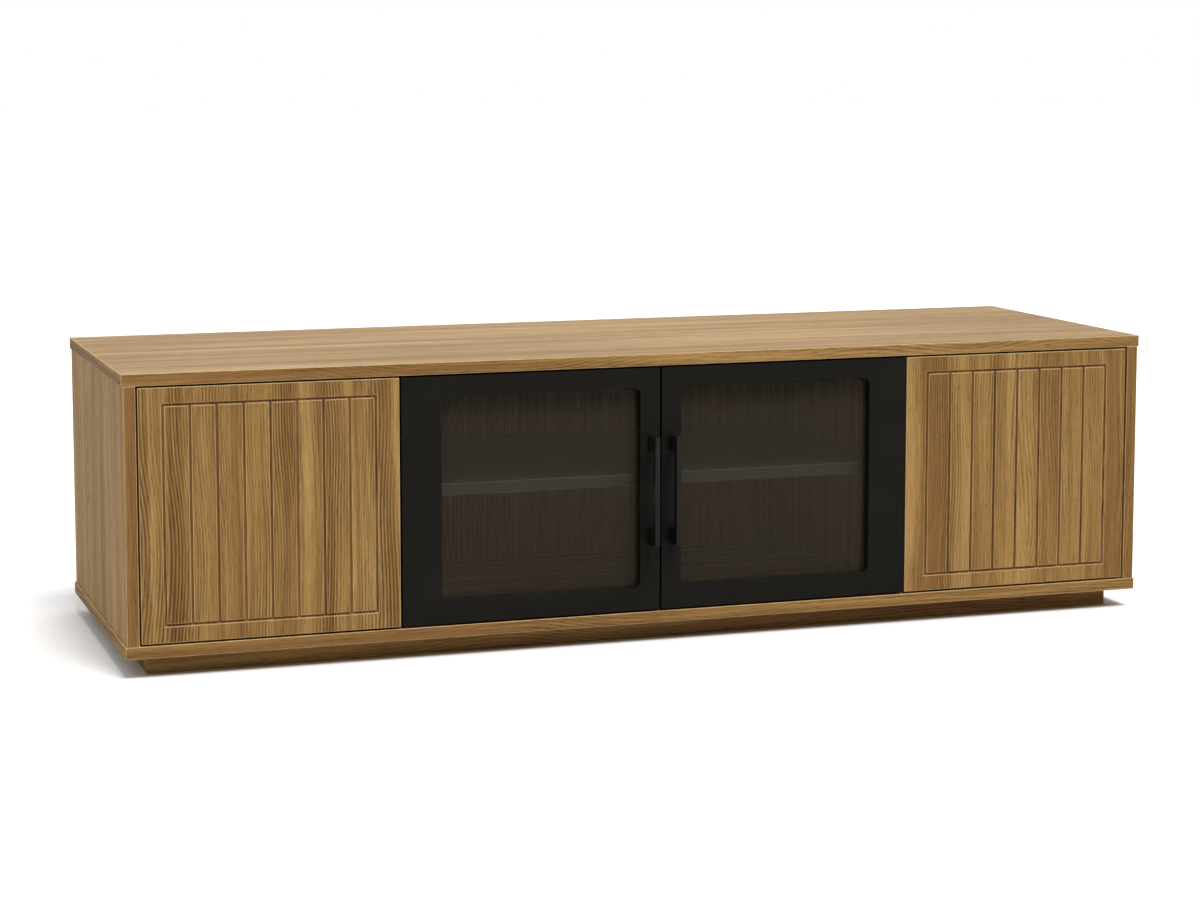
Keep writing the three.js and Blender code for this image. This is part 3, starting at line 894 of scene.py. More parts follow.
def shade(piece: Piece) -> None:
    """Shades a shaped piece smoothly, with its flat faces kept flat.

    Args:
        piece: The piece.
    """
    select(piece)
    bpy.ops.object.shade_smooth_by_angle(angle=math.radians(SMOOTH_ANGLE))
    apply_modifier(piece, "WEIGHTED_NORMAL", keep_sharp=True)


def give(piece: Piece, *finishes: Finish) -> Piece:
    """Gives a piece its finishes.

    Args:
        piece: The piece.
        finishes: The finish of each slot.

    Returns:
        The piece.
    """
    piece.data.materials.clear()
    for finish in finishes:
        piece.data.materials.append(material_of(finish))
    return piece


def joined(name: str, pieces: Sequence[Piece]) -> Piece:
    """Joins several meshes into one piece.

    Args:
        name: The piece's name.
        pieces: The meshes.

    Returns:
        The piece.
    """
    select(*pieces)
    bpy.ops.object.join()
    pieces[0].name = name
    return pieces[0]


def spread(template: Piece, name: str, places: Sequence[Matrix]) -> Piece:
    """Makes one piece of copies of a template.

    Args:
        template: The piece to copy.
        name: The new piece's name.
        places: Where each copy goes.

    Returns:
        The new piece.
    """
    copies = []
    for place in places:
        copy = template.copy()
        copy.data = template.data.copy()
        copy.data.transform(place)
        copy.hide_render = False
        bpy.context.scene.collection.objects.link(copy)
        copies.append(copy)
    return joined(name, copies)


def facing(direction: Sequence[float], place: Sequence[float]) -> Matrix:
    """Turns +Z to a direction and moves the origin to a place."""
    turn = Vector((0, 0, 1)).rotation_difference(Vector(direction))
    return Matrix.Translation(Vector(place)) @ turn.to_matrix().to_4x4()


def from_node(name: str, node: str, width: float) -> Piece:
    """Copies a node's mesh, merges and cleans it, and rounds its edges.

    Args:
        name: The piece's name.
        node: The node.
        width: The rounding's width.

    Returns:
        The piece.
    """
    piece = bpy.data.objects.new(name, frame["nodes"][node].data.copy())
    bpy.context.scene.collection.objects.link(piece)
    with shaping(piece, Pick.VERTICES, lambda place: True):
        bpy.ops.mesh.remove_doubles(threshold=MERGE)
        bpy.ops.mesh.dissolve_limited(angle_limit=math.radians(1))
    soften(piece, width, angle=SMOOTH_ANGLE)
    return piece


def body_of(node: str) -> str:
    """Gives the body that holds a node."""
    bodies = frame["record"]["behaviour"]["bodies"]
    return next(body for body, members in bodies.items() if node in members)


def enter(piece: Piece, body: str, slot: str, nodes: Sequence[str] = ()) -> None:
    """Puts a finished piece on its body, in place of its nodes.

    Args:
        piece: The piece.
        body: The body that it rides on.
        slot: The record's slot that it takes its finish from; not used.
        nodes: The nodes that it stands for.
    """
    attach(piece, body)
    if nodes:
        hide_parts(*nodes)
    LOG.info("%s rides on %s", piece.name, body)


def complete(piece: Piece, finish: Finish, node: str) -> None:
    """Shades a shaped piece, gives it one finish and enters it for a node.

    Args:
        piece: The piece.
        finish: Its finish.
        node: The node that it stands for.
    """
    shade(piece)
    give(piece, finish)
    enter(piece, body_of(node), finish.slot, [node])


class Side(Enum):
    """A side of the cabinet."""

    LEFT = "left"
    RIGHT = "right"

    @property
    def inward(self) -> int:
        """1 where inwards is +X, -1 where it is -X."""
        return 1 if self is Side.LEFT else -1


# ---- Small fittings ----------------------------------------------------------------------


@dataclass
class Screw:
    """A domed screw head with a cross recess, modelled once and copied.

    Attributes:
        head_radius, head_height, head_sides: The head's size, and the number of its sides.
        rim: The rounding of its rim.
        recess_length, recess_width, recess_depth: The size of one slot of the recess.
        cutter_height: The height of the recess's cutter.
        template: The head that every screw is copied from.
    """

    head_radius: float = 3.4 * MM
    head_height: float = 1.3 * MM
    head_sides: int = 20
    rim: float = 0.8 * MM
    recess_length: float = 3.6 * MM
    recess_width: float = 0.9 * MM
    recess_depth: float = 0.8 * MM
    cutter_height: float = 1 * MM
    template: Optional[Piece] = None

    def model(self) -> Piece:
        """Builds the template.

        Returns:
            The template, which stands on the origin and points up.
        """
        head = rod("screw_template", self.head_radius, self.head_height, self.head_sides)
        round_edges(head, above(self.head_height - TINY), self.rim, 2)
        low = self.head_height - self.recess_depth
        for long_axis in (0, 1):
            half = [self.recess_width / 2] * 2
            half[long_axis] = self.recess_length / 2
            top = (half[0], half[1], self.cutter_height + low)
            cut(head, block("recess", (-half[0], -half[1], low), top))
        shade(head)
        head.hide_render = True
        return give(head, Finish.STEEL)

    def fix(self, node: str, places: Sequence[Matrix]) -> None:
        """Puts a screw head at each place, on a node's body.

        Args:
            node: The node that the screws hold.
            places: Where the heads sit.
        """
        if self.template is None:
            self.template = self.model()
        heads = spread(self.template, node + "_screws", places)
        enter(heads, body_of(node), Finish.STEEL.slot)

    def discard(self) -> None:
        """Deletes the template."""
        if self.template is not None:
            bpy.data.objects.remove(self.template)


SCREW = Screw()


# ---- Carcass -----------------------------------------------------------------------------


@dataclass
class Carcass:
    """The boards that stand still: slabs, sides, partitions, backs, plinth and shelves.

    Attributes:
        body: The body that they ride on.
        arris, back_arris: The rounding of boards and of back panels.
        edge_band: The edge bands' thickness.
        outlet_margin: How far a cable cut-out reaches beyond the record's clear opening.
        outlet_radius, outlet_segments: Its corners' radius, and the faces in each.
        screw_inset: The back screws' distance from their panel's edges.
        pin_collar, collar_depth, pin_arris: The sizes of a shelf pin's collar.
    """

    body: str = "carcass"
    arris: float = 0.7 * MM
    back_arris: float = 0.5 * MM
    edge_band: float = 1.0 * MM
    outlet_margin: float = 8 * MM
    outlet_radius: float = 25 * MM
    outlet_segments: int = 10
    screw_inset: float = 8 * MM
    pin_collar: float = 3.6 * MM
    collar_depth: float = 1.5 * MM
    pin_arris: float = 0.3 * MM

    def board(
        self,
        node: str,
        face: Finish,
        edges: tuple[Finish, Finish],
        arris: Finish = Finish.OAK_ARRIS,
    ) -> None:
        """Builds a board with banded edges and softened arrises, the arrises painted pale as a
        painted highlight.

        Args:
            node: The node it stands for.
            face: The finish of its two faces.
            edges: The finishes of its front and back edges, and of the edges at its ends.
            arris: The finish of its arrises, pale for a painted highlight.
        """
        low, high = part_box(node)
        size = high - low
        thin = min(range(3), key=lambda axis: size[axis])
        band = low.y + self.edge_band
        piece = block(node + "_veneered", low, high)
        with shaping(piece, Pick.FACES, lambda middle, normal: True):
            bpy.ops.mesh.bisect(plane_co=(0, band, 0), plane_no=(0, 1, 0))
        give(piece, face, arris, *edges)
        for polygon in piece.data.polygons:
            if abs(polygon.normal.y) > 0.5 or polygon.center.y < band:
                polygon.material_index = 2
            elif abs(polygon.normal[thin]) < 0.5:
                polygon.material_index = 3
        # The rounded arrises take slot 1, the pale finish of a painted highlight.
        soften(piece, self.arris, slot=1)
        shade(piece)
        enter(piece, self.body, face.slot, [node])

    def back_panel(self, bay: str) -> None:
        """Builds a back panel with its rounded cable cut-out and its row of screws.

        Args:
            bay: The bay that it closes.
        """
        node = "back_panel_" + bay
        low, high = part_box(node)
        start, end = self.opening(bay + "_cable_outlet")
        margin = self.outlet_margin
        piece = block(node + "_veneered", low, high)
        cutter = block(
            "cutter",
            (start.x - margin, low.y - CLEAR, start.z - margin),
            (end.x + margin, high.y + CLEAR, end.z + margin),
        )
        round_edges(cutter, runs_along(1), self.outlet_radius, self.outlet_segments)
        cut(piece, cutter)
        soften(piece, self.back_arris)
        complete(piece, Finish.OAK_BACK, node)

        inset = self.screw_inset
        columns = (low.x + inset, halfway(low.x, high.x), high.x - inset)
        rows = (low.z + inset, halfway(low.z, high.z), high.z - inset)
        spots = [(x, z) for z in rows for x in columns if (x, z) != (columns[1], rows[1])]
        SCREW.fix(node, [facing((0, 1, 0), (x, high.y, z)) for x, z in spots])

    def opening(self, name: str) -> tuple[Vector, Vector]:
        """Finds one of the record's openings.

        Args:
            name: The opening's name.

        Returns:
            Its low and high corners.
        """
        openings = frame["record"]["physics"]["openings"]
        found = next(entry for entry in openings if entry["name"] == name)
        low, high = found["box_m"]
        return Vector(low), Vector(high)

    def shelf_pins(self, shelf: str, walls: tuple[str, str], nodes: Sequence[str]) -> None:
        """Builds the four pins of a shelf, each a peg with a collar against the wall.

        Args:
            shelf: The shelf.
            walls: The boards at its left and right.
            nodes: The pins' nodes, where they have any.
        """
        ends = [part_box(f"shelf_pin_left_{end}") for end in ("front", "back")]
        low, high = ends[0]
        peg = rod("peg", (high.z - low.z) / 2, high.x - low.x)
        collar = rod("collar", self.pin_collar, self.collar_depth)
        pin = joined("pin", [peg, collar])
        soften(pin, self.pin_arris)
        shade(pin)
        give(pin, Finish.STEEL)
        height = halfway(low.z, high.z)
        faces = ((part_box(walls[0])[1].x, 1), (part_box(walls[1])[0].x, -1))
        places = [
            facing((way, 0, 0), (x, halfway(front.y, back.y), height))
            for x, way in faces
            for front, back in ends
        ]
        pins = spread(pin, shelf + "_pins", places)
        bpy.data.objects.remove(pin)
        enter(pins, self.body, Finish.STEEL.slot, nodes)

    def build(self) -> None:
        """Builds every still board, and the shelves' pins."""
        long_edges = (Finish.OAK_EDGE_LONG, Finish.OAK_EDGE_DEEP)
        upright_edges = (Finish.OAK_EDGE_UPRIGHT, Finish.OAK_EDGE_DEEP)
        shelf_edges = (Finish.SHELF, Finish.SHELF)
        self.board("top_board", Finish.OAK_TOP, long_edges)
        self.board("bottom_board", Finish.OAK_BASE, long_edges)
        self.board("side_panel_left", Finish.OAK_SIDE_LEFT, upright_edges)
        self.board("side_panel_right", Finish.OAK_SIDE_RIGHT, upright_edges)
        for side in ("left", "right"):
            self.board("partition_" + side, Finish.OAK_INSIDE, upright_edges)
            self.board("plinth_" + side, Finish.OAK_PLINTH_END, long_edges)
        for bay in ("left", "centre", "right"):
            self.back_panel(bay)
            self.board("shelf_" + bay, Finish.SHELF, shelf_edges, Finish.SHELF_ARRIS)
        for part in ("front", "back"):
            self.board("plinth_" + part, Finish.OAK_PLINTH, long_edges)
        self.board("plinth_centre_rail", Finish.OAK_PLINTH_END, long_edges)
        centre_pins = [
            f"shelf_pin_{side}_{end}" for side in ("left", "right") for end in ("front", "back")
        ]
        self.shelf_pins("shelf_left", ("side_panel_left", "partition_left"), ())
        self.shelf_pins("shelf_centre", ("partition_left", "partition_right"), centre_pins)
        self.shelf_pins("shelf_right", ("partition_right", "side_panel_right"), ())


# ---- Hinges ------------------------------------------------------------------------------


@dataclass
class CupHinges:
    """The two concealed hinges of one door.

    Attributes:
        door: The door's name in its hinge nodes, such as oak_left.
        inward: 1 where the door's inward direction is +X, -1 where it is -X.
        edge: The place of the door's hinge edge along X.
        arris: The rounding of cups, arms and links.
        bore_radius, bore_sides: The cup bore's radius, and the number of its sides.
        bore_gap: Its gap in front of the cup.
        cup_reach: From a cup's axis to its inward end.
        bore_overrun: How far the bore's cutter stands out behind the cup.
        cup_screw_inset, cup_screw_spread: The cup's screws, from its end and its middle.
        plate_screw_back, plate_screw_spread: The plate's, from its back and its middle.
        plate_height, arm_height: From the wall to the plate's and the arm's faces.
        adjuster_backs: From an arm's back end to its two adjusting screws.
    """

    door: str
    inward: int
    edge: float
    arris: float = 0.25 * MM
    bore_radius: float = 17.5 * MM
    bore_sides: int = 48
    bore_gap: float = 0.3 * MM
    bore_overrun: float = 3.8 * MM
    cup_reach: float = 20 * MM
    cup_screw_inset: float = 6 * MM
    cup_screw_spread: float = 24 * MM
    plate_screw_back: float = 27 * MM
    plate_screw_spread: float = 19 * MM
    plate_height: float = 2 * MM
    arm_height: float = 10 * MM
    adjuster_backs: Span = (14 * MM, 44 * MM)

    @classmethod
    def of_door(cls, kind: str, side: Side, node: str) -> "CupHinges":
        """Gives the hinges of a door.

        Args:
            kind: oak or glass.
            side: The door's side.
            node: The node that they carry.

        Returns:
            Its hinges.
        """
        low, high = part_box(node)
        return cls(f"{kind}_{side.value}", side.inward, low.x if side.inward > 0 else high.x)

    def build(self) -> None:
        """Builds cups, arms and links, and their screws."""
        for level in ("lower", "upper"):
            for part in ("cup", "arm", "link"):
                node = f"{self.door}_hinge_{part}_{level}"
                complete(from_node(node + "_pressed", node, self.arris), Finish.STEEL, node)
            self.cup_screws(level)
            self.arm_screws(level)

    def cup_screws(self, level: str) -> None:
        """Puts the two screws in a cup's wings.

        Args:
            level: lower or upper.
        """
        node = f"{self.door}_hinge_cup_{level}"
        low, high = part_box(node)
        reach = max(abs(low.x - self.edge), abs(high.x - self.edge))
        x = self.edge + self.inward * (reach - self.cup_screw_inset)
        middle = halfway(low.z, high.z)
        spots = (middle - self.cup_screw_spread, middle + self.cup_screw_spread)
        SCREW.fix(node, [facing((0, 1, 0), (x, high.y, z)) for z in spots])

    def arm_screws(self, level: str) -> None:
        """Puts the plate's two screws and the arm's two adjusting screws on.

        Args:
            level: lower or upper.
        """
        node = f"{self.door}_hinge_arm_{level}"
        low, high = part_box(node)
        wall = low.x if self.inward > 0 else high.x
        middle = halfway(low.z, high.z)
        plate_x = wall + self.inward * self.plate_height
        plate_y = high.y - self.plate_screw_back
        arm_x = wall + self.inward * self.arm_height
        spots = [
            (plate_x, plate_y, middle - self.plate_screw_spread),
            (plate_x, plate_y, middle + self.plate_screw_spread),
        ]
        spots += [(arm_x, high.y - back, middle) for back in self.adjuster_backs]
        SCREW.fix(node, [facing((self.inward, 0, 0), spot) for spot in spots])

    def bore(self, panel: Piece) -> None:
        """Bores a door for its two cups, a little wider than they are.

        Args:
            panel: The door's panel or frame.
        """
        for level in ("lower", "upper"):
            low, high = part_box(f"{self.door}_hinge_cup_{level}")
            inner = high.x if self.inward > 0 else low.x
            x = inner - self.inward * self.cup_reach
            start = low.y - self.bore_gap
            depth = high.y + self.bore_overrun - start
            cutter = rod("bore", self.bore_radius, depth, self.bore_sides)
            cutter.data.transform(facing((0, 1, 0), (x, start, halfway(low.z, high.z))))
            cut(panel, cutter)


# ---- Oak doors ---------------------------------------------------------------------------


@dataclass
class OakDoor:
    """A routed oak door: one panel with a framing groove and upright grooves.

    Attributes:
        side: The door's side.
        finish: Its veneer.
        side_inset, end_inset: The framing groove's middle, from the door's edges.
        groove_width, groove_depth: The V groove's size.
        slats: The number of slats between the upright grooves.
        arris, groove_arris: The rounding of the door's and of the grooves' edges.
        fold_angle: The angle from which a groove's edge is rounded, in degrees.
        shade_depth: The depth from which a groove's wall is painted dark, a painted shade.
        strike_radius, strike_depth, strike_arris: The strike plate's sizes.
    """

    side: Side
    finish: Finish
    side_inset: float = 36 * MM
    end_inset: float = 26 * MM
    groove_width: float = 5 * MM
    groove_depth: float = 3 * MM
    slats: int = 8
    arris: float = 0.9 * MM
    groove_arris: float = 1.8 * MM
    fold_angle: float = 41.0
    shade_depth: float = 0.9 * MM
    strike_radius: float = 7 * MM
    strike_depth: float = 0.2 * MM
    strike_arris: float = 0.05 * MM

    @property
    def node(self) -> str:
        """The door's node."""
        return "oak_door_" + self.side.value

    def build(self) -> None:
        """Builds the panel, its hinges and its strike plate."""
        low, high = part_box(self.node)
        panel = block(self.node + "_routed", low, high)
        round_edges(panel, lambda first, second: True, self.arris, 2)
        self.rout(panel, low, high)
        hinges = CupHinges.of_door("oak", self.side, self.node)
        hinges.bore(panel)
        # The door's oak, pale arrises as a painted highlight, and darker groove walls as painted
        # shade.
        give(panel, self.finish, Finish.OAK_ARRIS, Finish.OAK_GROOVE)
        soften(panel, self.groove_arris, angle=self.fold_angle, slot=1)
        self.dress(panel, low.y)
        shade(panel)
        enter(panel, body_of(self.node), self.finish.slot, [self.node])
        hinges.build()
        self.strike_plate()

    def rout(self, panel: Piece, low: Vector, high: Vector) -> None:
        """Routs the framing groove and the upright grooves into the front face.

        Args:
            panel: The door's panel.
            low, high: The door's corners.
        """
        half = self.groove_width / 2
        width = high.x - low.x - 2 * self.arris
        first = self.end_inset - half - self.arris
        grown = self.side_inset - half - self.arris
        scale = (width - 2 * grown) / (width - 2 * first)
        centre = (halfway(low.x, high.x), low.y, halfway(low.z, high.z))
        with shaping(panel, Pick.FACES, lambda middle, normal: normal.y < -FLAT):
            bpy.ops.mesh.inset(thickness=first, depth=0)
            bpy.ops.transform.resize(value=(scale, 1, 1), center_override=centre)
            bpy.ops.mesh.inset(thickness=half, depth=-self.groove_depth)
            bpy.ops.mesh.inset(thickness=half, depth=self.groove_depth)
        left = low.x + self.side_inset
        pitch = (high.x - low.x - 2 * self.side_inset) / self.slats
        lines = [left + number * pitch for number in range(1, self.slats)]
        field = (low.z + self.end_inset + half, high.z - self.end_inset - half)
        for x in lines:
            for place, reach in ((x - half, 0), (x + half, 0), (x, half)):
                self.score(panel, (place, low.y, 0), field, reach)
        self.sink(panel, low.y, lines, field)

    def score(self, panel: Piece, line: Triple, field: Span, reach: float) -> None:
        """Cuts the field's faces along an upright line.

        Args:
            panel: The door's panel.
            line: A place on the line, at the panel's front.
            field: The field's lower and upper ends.
            reach: How far beyond the field's ends its sloping faces are cut too.
        """

        def crosses(middle: Vector, normal: Vector) -> bool:
            """Tells whether a face belongs to the field or to the slopes at its ends.

            Args:
                middle, normal: The face's middle and normal.

            Returns:
                Whether it does.
            """
            inside = field[0] - reach - TINY < middle.z < field[1] + reach + TINY
            sloped = abs(normal.z) > 0.1 and reach > 0
            flat = normal.y < -FLAT and field[0] < middle.z < field[1]
            near = middle.y < line[1] + self.groove_depth
            return near and inside and (flat or sloped)

        with shaping(panel, Pick.FACES, crosses):
            bpy.ops.mesh.bisect(plane_co=line, plane_no=(1, 0, 0))

    def sink(self, panel: Piece, front: float, lines: Sequence[float], field: Span) -> None:
        """Pushes each upright groove's middle line down to the framing groove's depth.

        Args:
            panel: The door's panel.
            front: The place of its front along Y.
            lines: The places of the middle lines along X.
            field: The field's lower and upper ends.
        """
        for end, way in ((field[0], -1), (field[1], 1)):

            def on_line(place: Vector) -> bool:
                """Tells whether a vertex is an end of a groove's middle line."""
                at_end = abs(place.z - end) < TINY and abs(place.y - front) < TINY
                return at_end and min(abs(place.x - x) for x in lines) < TINY

            move = (0, self.groove_depth, way * self.groove_width / 2)
            with shaping(panel, Pick.VERTICES, on_line):
                bpy.ops.transform.translate(value=move)
        with shaping(panel, Pick.VERTICES, lambda place: place.y < front + 2 * self.groove_depth):
            bpy.ops.mesh.remove_doubles(threshold=TINY)

    def dress(self, panel: Piece, front: float) -> None:
        """Paints shade on the deep parts of the grooves' walls with the darker finish, and a
        highlight on the door's own arrises with the pale one.

        Args:
            panel: The door's panel.
            front: The place of its front along Y.
        """
        for face in panel.data.polygons:
            depth = face.center.y - front
            # Painted shade: faces deep in the grooves take the darker finish.
            if self.shade_depth < depth < self.groove_depth + TINY and face.normal.y < -0.3:
                face.material_index = 2
            # Painted highlight: the door's rounded arrises take the pale finish.
            elif depth < self.arris and max(abs(part) for part in face.normal) < 0.98:
                face.material_index = 1

    def strike_plate(self) -> None:
        """Puts the thin strike plate behind the door where the latch's plunger meets it."""
        low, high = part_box("push_latch_plunger_" + self.side.value)
        plate = rod("strike_plate_" + self.side.value, self.strike_radius, self.strike_depth, 32)
        soften(plate, self.strike_arris, 1)
        shade(plate)
        give(plate, Finish.STEEL)
        spot = (halfway(low.x, high.x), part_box(self.node)[1].y, halfway(low.z, high.z))
        plate.data.transform(facing((0, 1, 0), spot))
        enter(plate, body_of(self.node), Finish.STEEL.slot)


# ---- Glass doors -------------------------------------------------------------------------


@dataclass
class GlassDoor:
    """A one-piece black frame with a tinted pane, a retainer behind it and a bar handle.

    Attributes:
        side: The door's side.
        window_radius: The radius of the window's corners.
        rabbet, rabbet_gap: The rabbet's width, and the gap round the pane in it.
        arris, pane_arris, ring_arris, bar_arris: The rounding of each piece's edges.
        retainer_cover: How far the retainer shows inside the window.
        ring_screw_inset, ring_screw_sink: Its screws, from its edge and below its face.
        ring_screw_rows: Where they sit, as shares of its height.
        leg, bar, corner: The handle's leg height, bar depth and inner rounding.
    """

    side: Side
    window_radius: float = 10 * MM
    rabbet: float = 8 * MM
    rabbet_gap: float = 0.5 * MM
    arris: float = 1.0 * MM
    pane_arris: float = 0.5 * MM
    ring_arris: float = 0.4 * MM
    bar_arris: float = 0.8 * MM
    retainer_cover: float = 3 * MM
    ring_screw_inset: float = 5 * MM
    ring_screw_sink: float = 0.4 * MM
    ring_screw_rows: tuple[float, ...] = (0.08, 0.36, 0.64, 0.92)
    leg: float = 24 * MM
    bar: float = 10 * MM
    corner: float = 3 * MM

    def node(self, part: str) -> str:
        """Gives the node of one of the door's parts."""
        return f"{part}_{self.side.value}"

    def build(self) -> None:
        """Builds frame, pane, retainer, handle and hinges."""
        low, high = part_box(self.node("glass_pane"))
        inset = Vector((1, 0, 1)) * (self.rabbet - self.rabbet_gap)
        window = (low + inset, high - inset)
        hinges = CupHinges.of_door("glass", self.side, self.node("glass_door_frame"))
        self.frame(window, hinges)
        self.pane(low, high)
        self.retainer(window)
        self.handle()
        hinges.build()

    def window_cutter(
        self, window: tuple[Vector, Vector], grow: float, depths: Span, segments: int = 0
    ) -> Piece:
        """Starts a cutter round the window.

        Args:
            window: The window's low and high corners.
            grow: How far the cutter stands out of the window all round.
            depths: Its front and back along Y.
            segments: The number of faces in each rounded corner, or 0 for square ones.

        Returns:
            The cutter.
        """
        low, high = window
        front, back = depths
        cutter = block(
            "cutter", (low.x - grow, front, low.z - grow), (high.x + grow, back, high.z + grow)
        )
        if segments:
            round_edges(cutter, runs_along(1), self.window_radius, segments)
        return cutter

    def frame(self, window: tuple[Vector, Vector], hinges: CupHinges) -> None:
        """Builds the frame with its window, rabbet and cup bores.

        Args:
            window: The window's low and high corners, at the pane's depth.
            hinges: The door's hinges.
        """
        node = self.node("glass_door_frame")
        low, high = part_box(node)
        back = high.y + CLEAR
        piece = block(node + "_lacquered", low, high)
        cut(piece, self.window_cutter(window, 0, (low.y - CLEAR, back), 10))
        cut(piece, self.window_cutter(window, self.rabbet, (window[0].y, back)))
        hinges.bore(piece)
        soften(piece, self.arris, 3)
        complete(piece, Finish.BLACK, node)

    def pane(self, low: Vector, high: Vector) -> None:
        """Builds the pane with ground edges, bedded a hair inside its rabbet.

        Args:
            low, high: The pane's corners.
        """
        node = self.node("glass_pane")
        bedding = Vector((0, TINY, 0))
        piece = block(node + "_tinted", low + bedding, high - bedding)
        soften(piece, self.pane_arris, 1)
        complete(piece, Finish.GLASS, node)

    def retainer(self, window: tuple[Vector, Vector]) -> None:
        """Builds the slim ring behind the pane, and its screws.

        Args:
            window: The window's low and high corners.
        """
        node = self.node("glass_retainer")
        low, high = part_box(node)
        depths = (low.y - CLEAR, high.y + CLEAR)
        piece = block(node + "_ring", low, high)
        cut(piece, self.window_cutter(window, -self.retainer_cover, depths, 8))
        soften(piece, self.ring_arris)
        complete(piece, Finish.BLACK, node)
        rows = [low.z + share * (high.z - low.z) for share in self.ring_screw_rows]
        columns = (low.x + self.ring_screw_inset, high.x - self.ring_screw_inset)
        y = high.y - self.ring_screw_sink
        SCREW.fix(node, [facing((0, 1, 0), (x, y, z)) for x in columns for z in rows])

    def handle(self) -> None:
        """Builds the bar handle: a bar cut away behind, with rounded inner corners."""
        node = self.node("handle")
        low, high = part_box(node)
        piece = block(node + "_bar", low, high)
        cutter = block(
            "cutter",
            (low.x - CLEAR, low.y + self.bar, low.z + self.leg),
            (high.x + CLEAR, high.y + 3 * self.corner, high.z - self.leg),
        )
        round_edges(cutter, runs_along(0), self.corner, 5)
        cut(piece, cutter)
        soften(piece, self.bar_arris, 3)
        complete(piece, Finish.HANDLE, node)
        x = halfway(low.x, high.x)
        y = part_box(self.node("glass_door_frame"))[1].y
        spots = (low.z + self.leg / 2, high.z - self.leg / 2)
        SCREW.fix(node, [facing((0, 1, 0), (x, y, z)) for z in spots])


# ---- Push latches ------------------------------------------------------------------------


@dataclass
class PushLatch:
    """A push-to-open latch on a partition: its housing, its plunger and two bumpers.

    Attributes:
        side: The side of its oak door.
        arris: The rounding of housing and plunger.
        screw_insets: The housing's screws, from its front and from its back.
        dome_radius, dome_rim: The bumpers' radius, and their domes' rounding.
        dome_gap: The gap between a bumper and the closed door.
        dome_inset, dome_end: The bumpers, from the partition's face and from its ends.
    """

    side: Side
    arris: float = 0.8 * MM
    screw_insets: Span = (12 * MM, 8 * MM)
    dome_radius: float = 3 * MM
    dome_rim: float = 1.4 * MM
    dome_gap: float = 0.3 * MM
    dome_inset: float = 3.6 * MM
    dome_end: float = 30 * MM

    def build(self) -> None:
        """Builds housing, plunger, screws and bumpers."""
        housing = "push_latch_housing_" + self.side.value
        for node in (housing, "push_latch_plunger_" + self.side.value):
            complete(from_node(node + "_moulded", node, self.arris), Finish.PLASTIC, node)
        low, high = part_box(housing)
        outward = -self.side.inward
        x = low.x if outward < 0 else high.x
        rows = (low.y + self.screw_insets[0], high.y - self.screw_insets[1])
        spots = [(x, y, halfway(low.z, high.z)) for y in rows]
        SCREW.fix(housing, [facing((outward, 0, 0), spot) for spot in spots])
        self.bumpers(outward)

    def bumpers(self, outward: int) -> None:
        """Builds the two domed stops on the partition's front edge, behind the oak door.

        Args:
            outward: 1 where the oak door lies towards +X, -1 where it lies towards -X.
        """
        partition = "partition_" + self.side.value
        low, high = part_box(partition)
        height = low.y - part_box("oak_door_" + self.side.value)[1].y - self.dome_gap
        dome = rod("dome", self.dome_radius, height)
        round_edges(dome, above(height - TINY), self.dome_rim, 4)
        shade(dome)
        give(dome, Finish.RUBBER)
        x = (high.x if outward > 0 else low.x) - outward * self.dome_inset
        rows = (low.z + self.dome_end, high.z - self.dome_end)
        places = [facing((0, -1, 0), (x, low.y, z)) for z in rows]
        domes = spread(dome, "door_bumpers_" + self.side.value, places)
        bpy.data.objects.remove(dome)
        enter(domes, body_of(partition), Finish.RUBBER.slot)


# ---- Studio ------------------------------------------------------------------------------


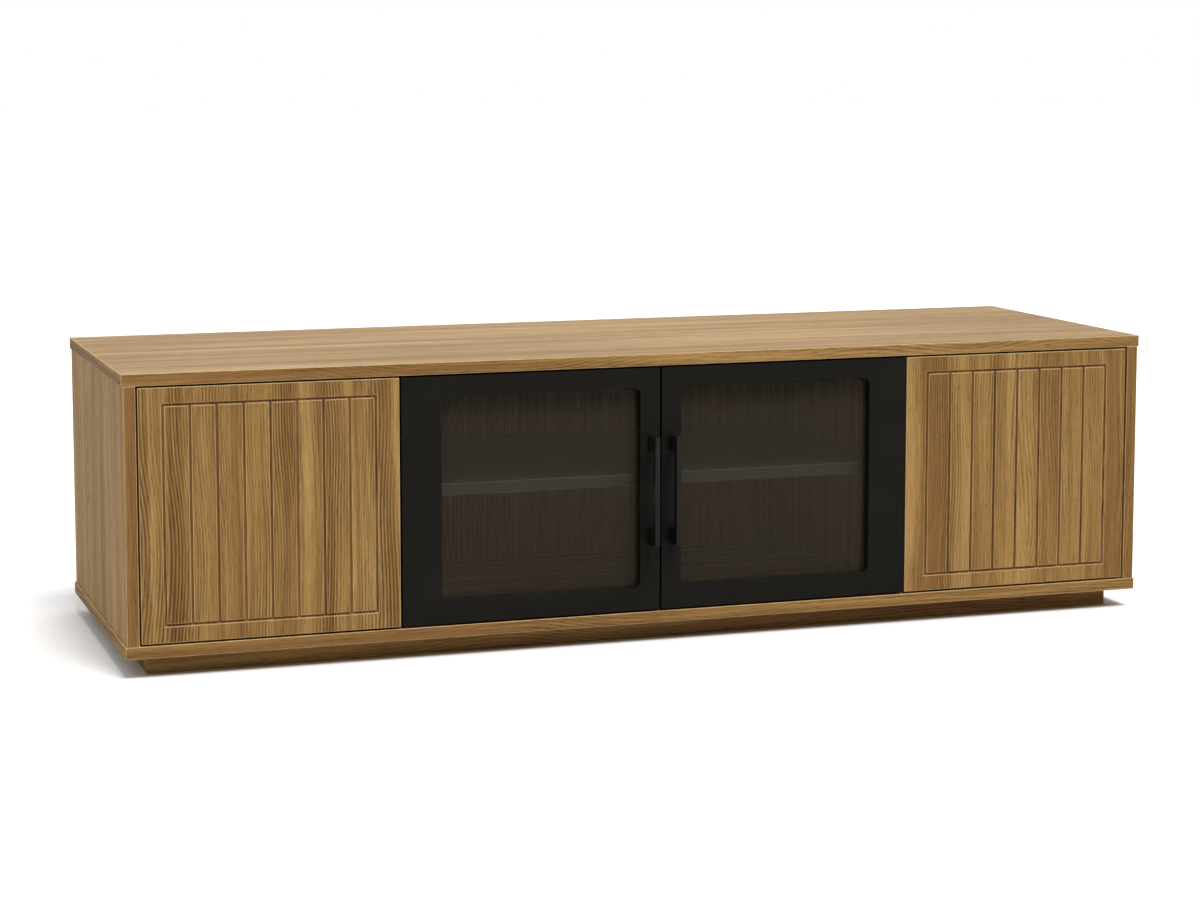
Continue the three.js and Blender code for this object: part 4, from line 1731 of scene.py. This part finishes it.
@dataclass
class Studio:
    """The pale floor, the soft light and the camera.

    Attributes:
        camera_place, camera_yaw, camera_pitch: The camera's place and angles, in degrees.
        lens, sensor: The lens's length and the sensor's width, in millimetres.
        lens_shift: The lens's upright shift, as a share of the sensor's width.
        floor_size, floor_drop: The floor's size, and its depth below the plinth.
        floor_seen, floor_bounce: How pale it looks, and how pale it is to the light.
        floor_roughness: Its roughness.
        key_way, key_energy, key_angle: The key light's direction, strength and breadth.
        sky_way, sky_span: Where the room is bright, and how it fades from there.
        low_light, high_light: Its dimmest and its brightest light.
    """

    camera_place: Triple = (-1.4323, -4.1936, 0.9285)
    camera_yaw: float = 18.66
    camera_pitch: float = -6.45
    lens: float = 82.91
    sensor: float = 36
    lens_shift: float = -0.0833
    floor_size: float = 60.0
    floor_drop: float = 0.2 * MM
    floor_seen: float = 1.0
    floor_bounce: float = 0.45
    floor_roughness: float = 0.9
    key_way: Triple = (0.14, -0.5, 1.0)
    key_energy: float = 2.85
    key_angle: float = 26.0
    sky_way: Triple = (0.0, 0.7, 0.7)
    sky_span: Span = (-0.2, 0.9)
    low_light: float = 0.12
    high_light: float = 0.92

    def build(self) -> None:
        """Builds floor, light, surroundings and camera."""
        bpy.context.scene.view_settings.view_transform = "Standard"
        self.floor()
        self.lights()
        self.surroundings()
        self.camera()

    def floor(self) -> None:
        """Lays the floor."""
        select()
        place = (0, 0, -self.floor_drop)
        bpy.ops.mesh.primitive_plane_add(size=self.floor_size, location=place)
        floor = bpy.context.active_object
        floor.name = "floor"
        material, sheet, shader = new_material("pale_floor")
        seen = sheet.add("ShaderNodeLightPath").outputs["Is Camera Ray"]
        colour = sheet.between(seen, grey(self.floor_bounce), grey(self.floor_seen))
        sheet.feed(shader.inputs["Base Color"], colour)
        shader.inputs["Roughness"].default_value = self.floor_roughness
        floor.data.materials.append(material)

    def lights(self) -> None:
        """Hangs the broad key light, high in front and a little to the right."""
        key = bpy.data.lights.new("key", "SUN")
        key.energy = self.key_energy
        key.angle = math.radians(self.key_angle)
        lamp = bpy.data.objects.new("key", key)
        lamp.matrix_world = facing(self.key_way, (0, 0, 3))
        bpy.context.scene.collection.objects.link(lamp)

    def surroundings(self) -> None:
        """Fills the room with light that is bright above and behind, and dim in front."""
        world = bpy.data.worlds.new("studio")
        world.use_nodes = True
        bpy.context.scene.world = world
        sheet = NodeSheet(world.node_tree)
        way = sheet.add("ShaderNodeTexCoord").outputs["Generated"]
        aim = sheet.vector("DOT_PRODUCT", way, self.sky_way).outputs["Value"]
        rise = sheet.ease(aim, self.sky_span)
        light = sheet.between(rise, grey(self.low_light), grey(self.high_light))
        seen = sheet.add("ShaderNodeLightPath").outputs["Is Camera Ray"]
        background = world.node_tree.nodes["Background"]
        sheet.feed(background.inputs["Color"], sheet.between(seen, light, grey(1.0)))

    def camera(self) -> None:
        """Sets the camera up."""
        data = bpy.data.cameras.new("camera")
        data.lens = self.lens
        data.sensor_width = self.sensor
        data.shift_y = self.lens_shift
        camera = bpy.data.objects.new("camera", data)
        camera.location = self.camera_place
        turn, tilt = math.radians(-self.camera_yaw), math.radians(90 + self.camera_pitch)
        camera.rotation_euler = (tilt, 0, turn)
        bpy.context.scene.collection.objects.link(camera)
        bpy.context.scene.camera = camera


def main() -> None:
    """Builds the studio and every part of the cabinet, in order."""
    logging.basicConfig(level=logging.INFO, format="%(message)s")
    Studio().build()
    Carcass().build()
    for side, finish in ((Side.LEFT, Finish.OAK_DOOR_LEFT), (Side.RIGHT, Finish.OAK_DOOR_RIGHT)):
        OakDoor(side, finish).build()
        GlassDoor(side).build()
        PushLatch(side).build()
    SCREW.discard()


if __name__ == "__main__":
    main()
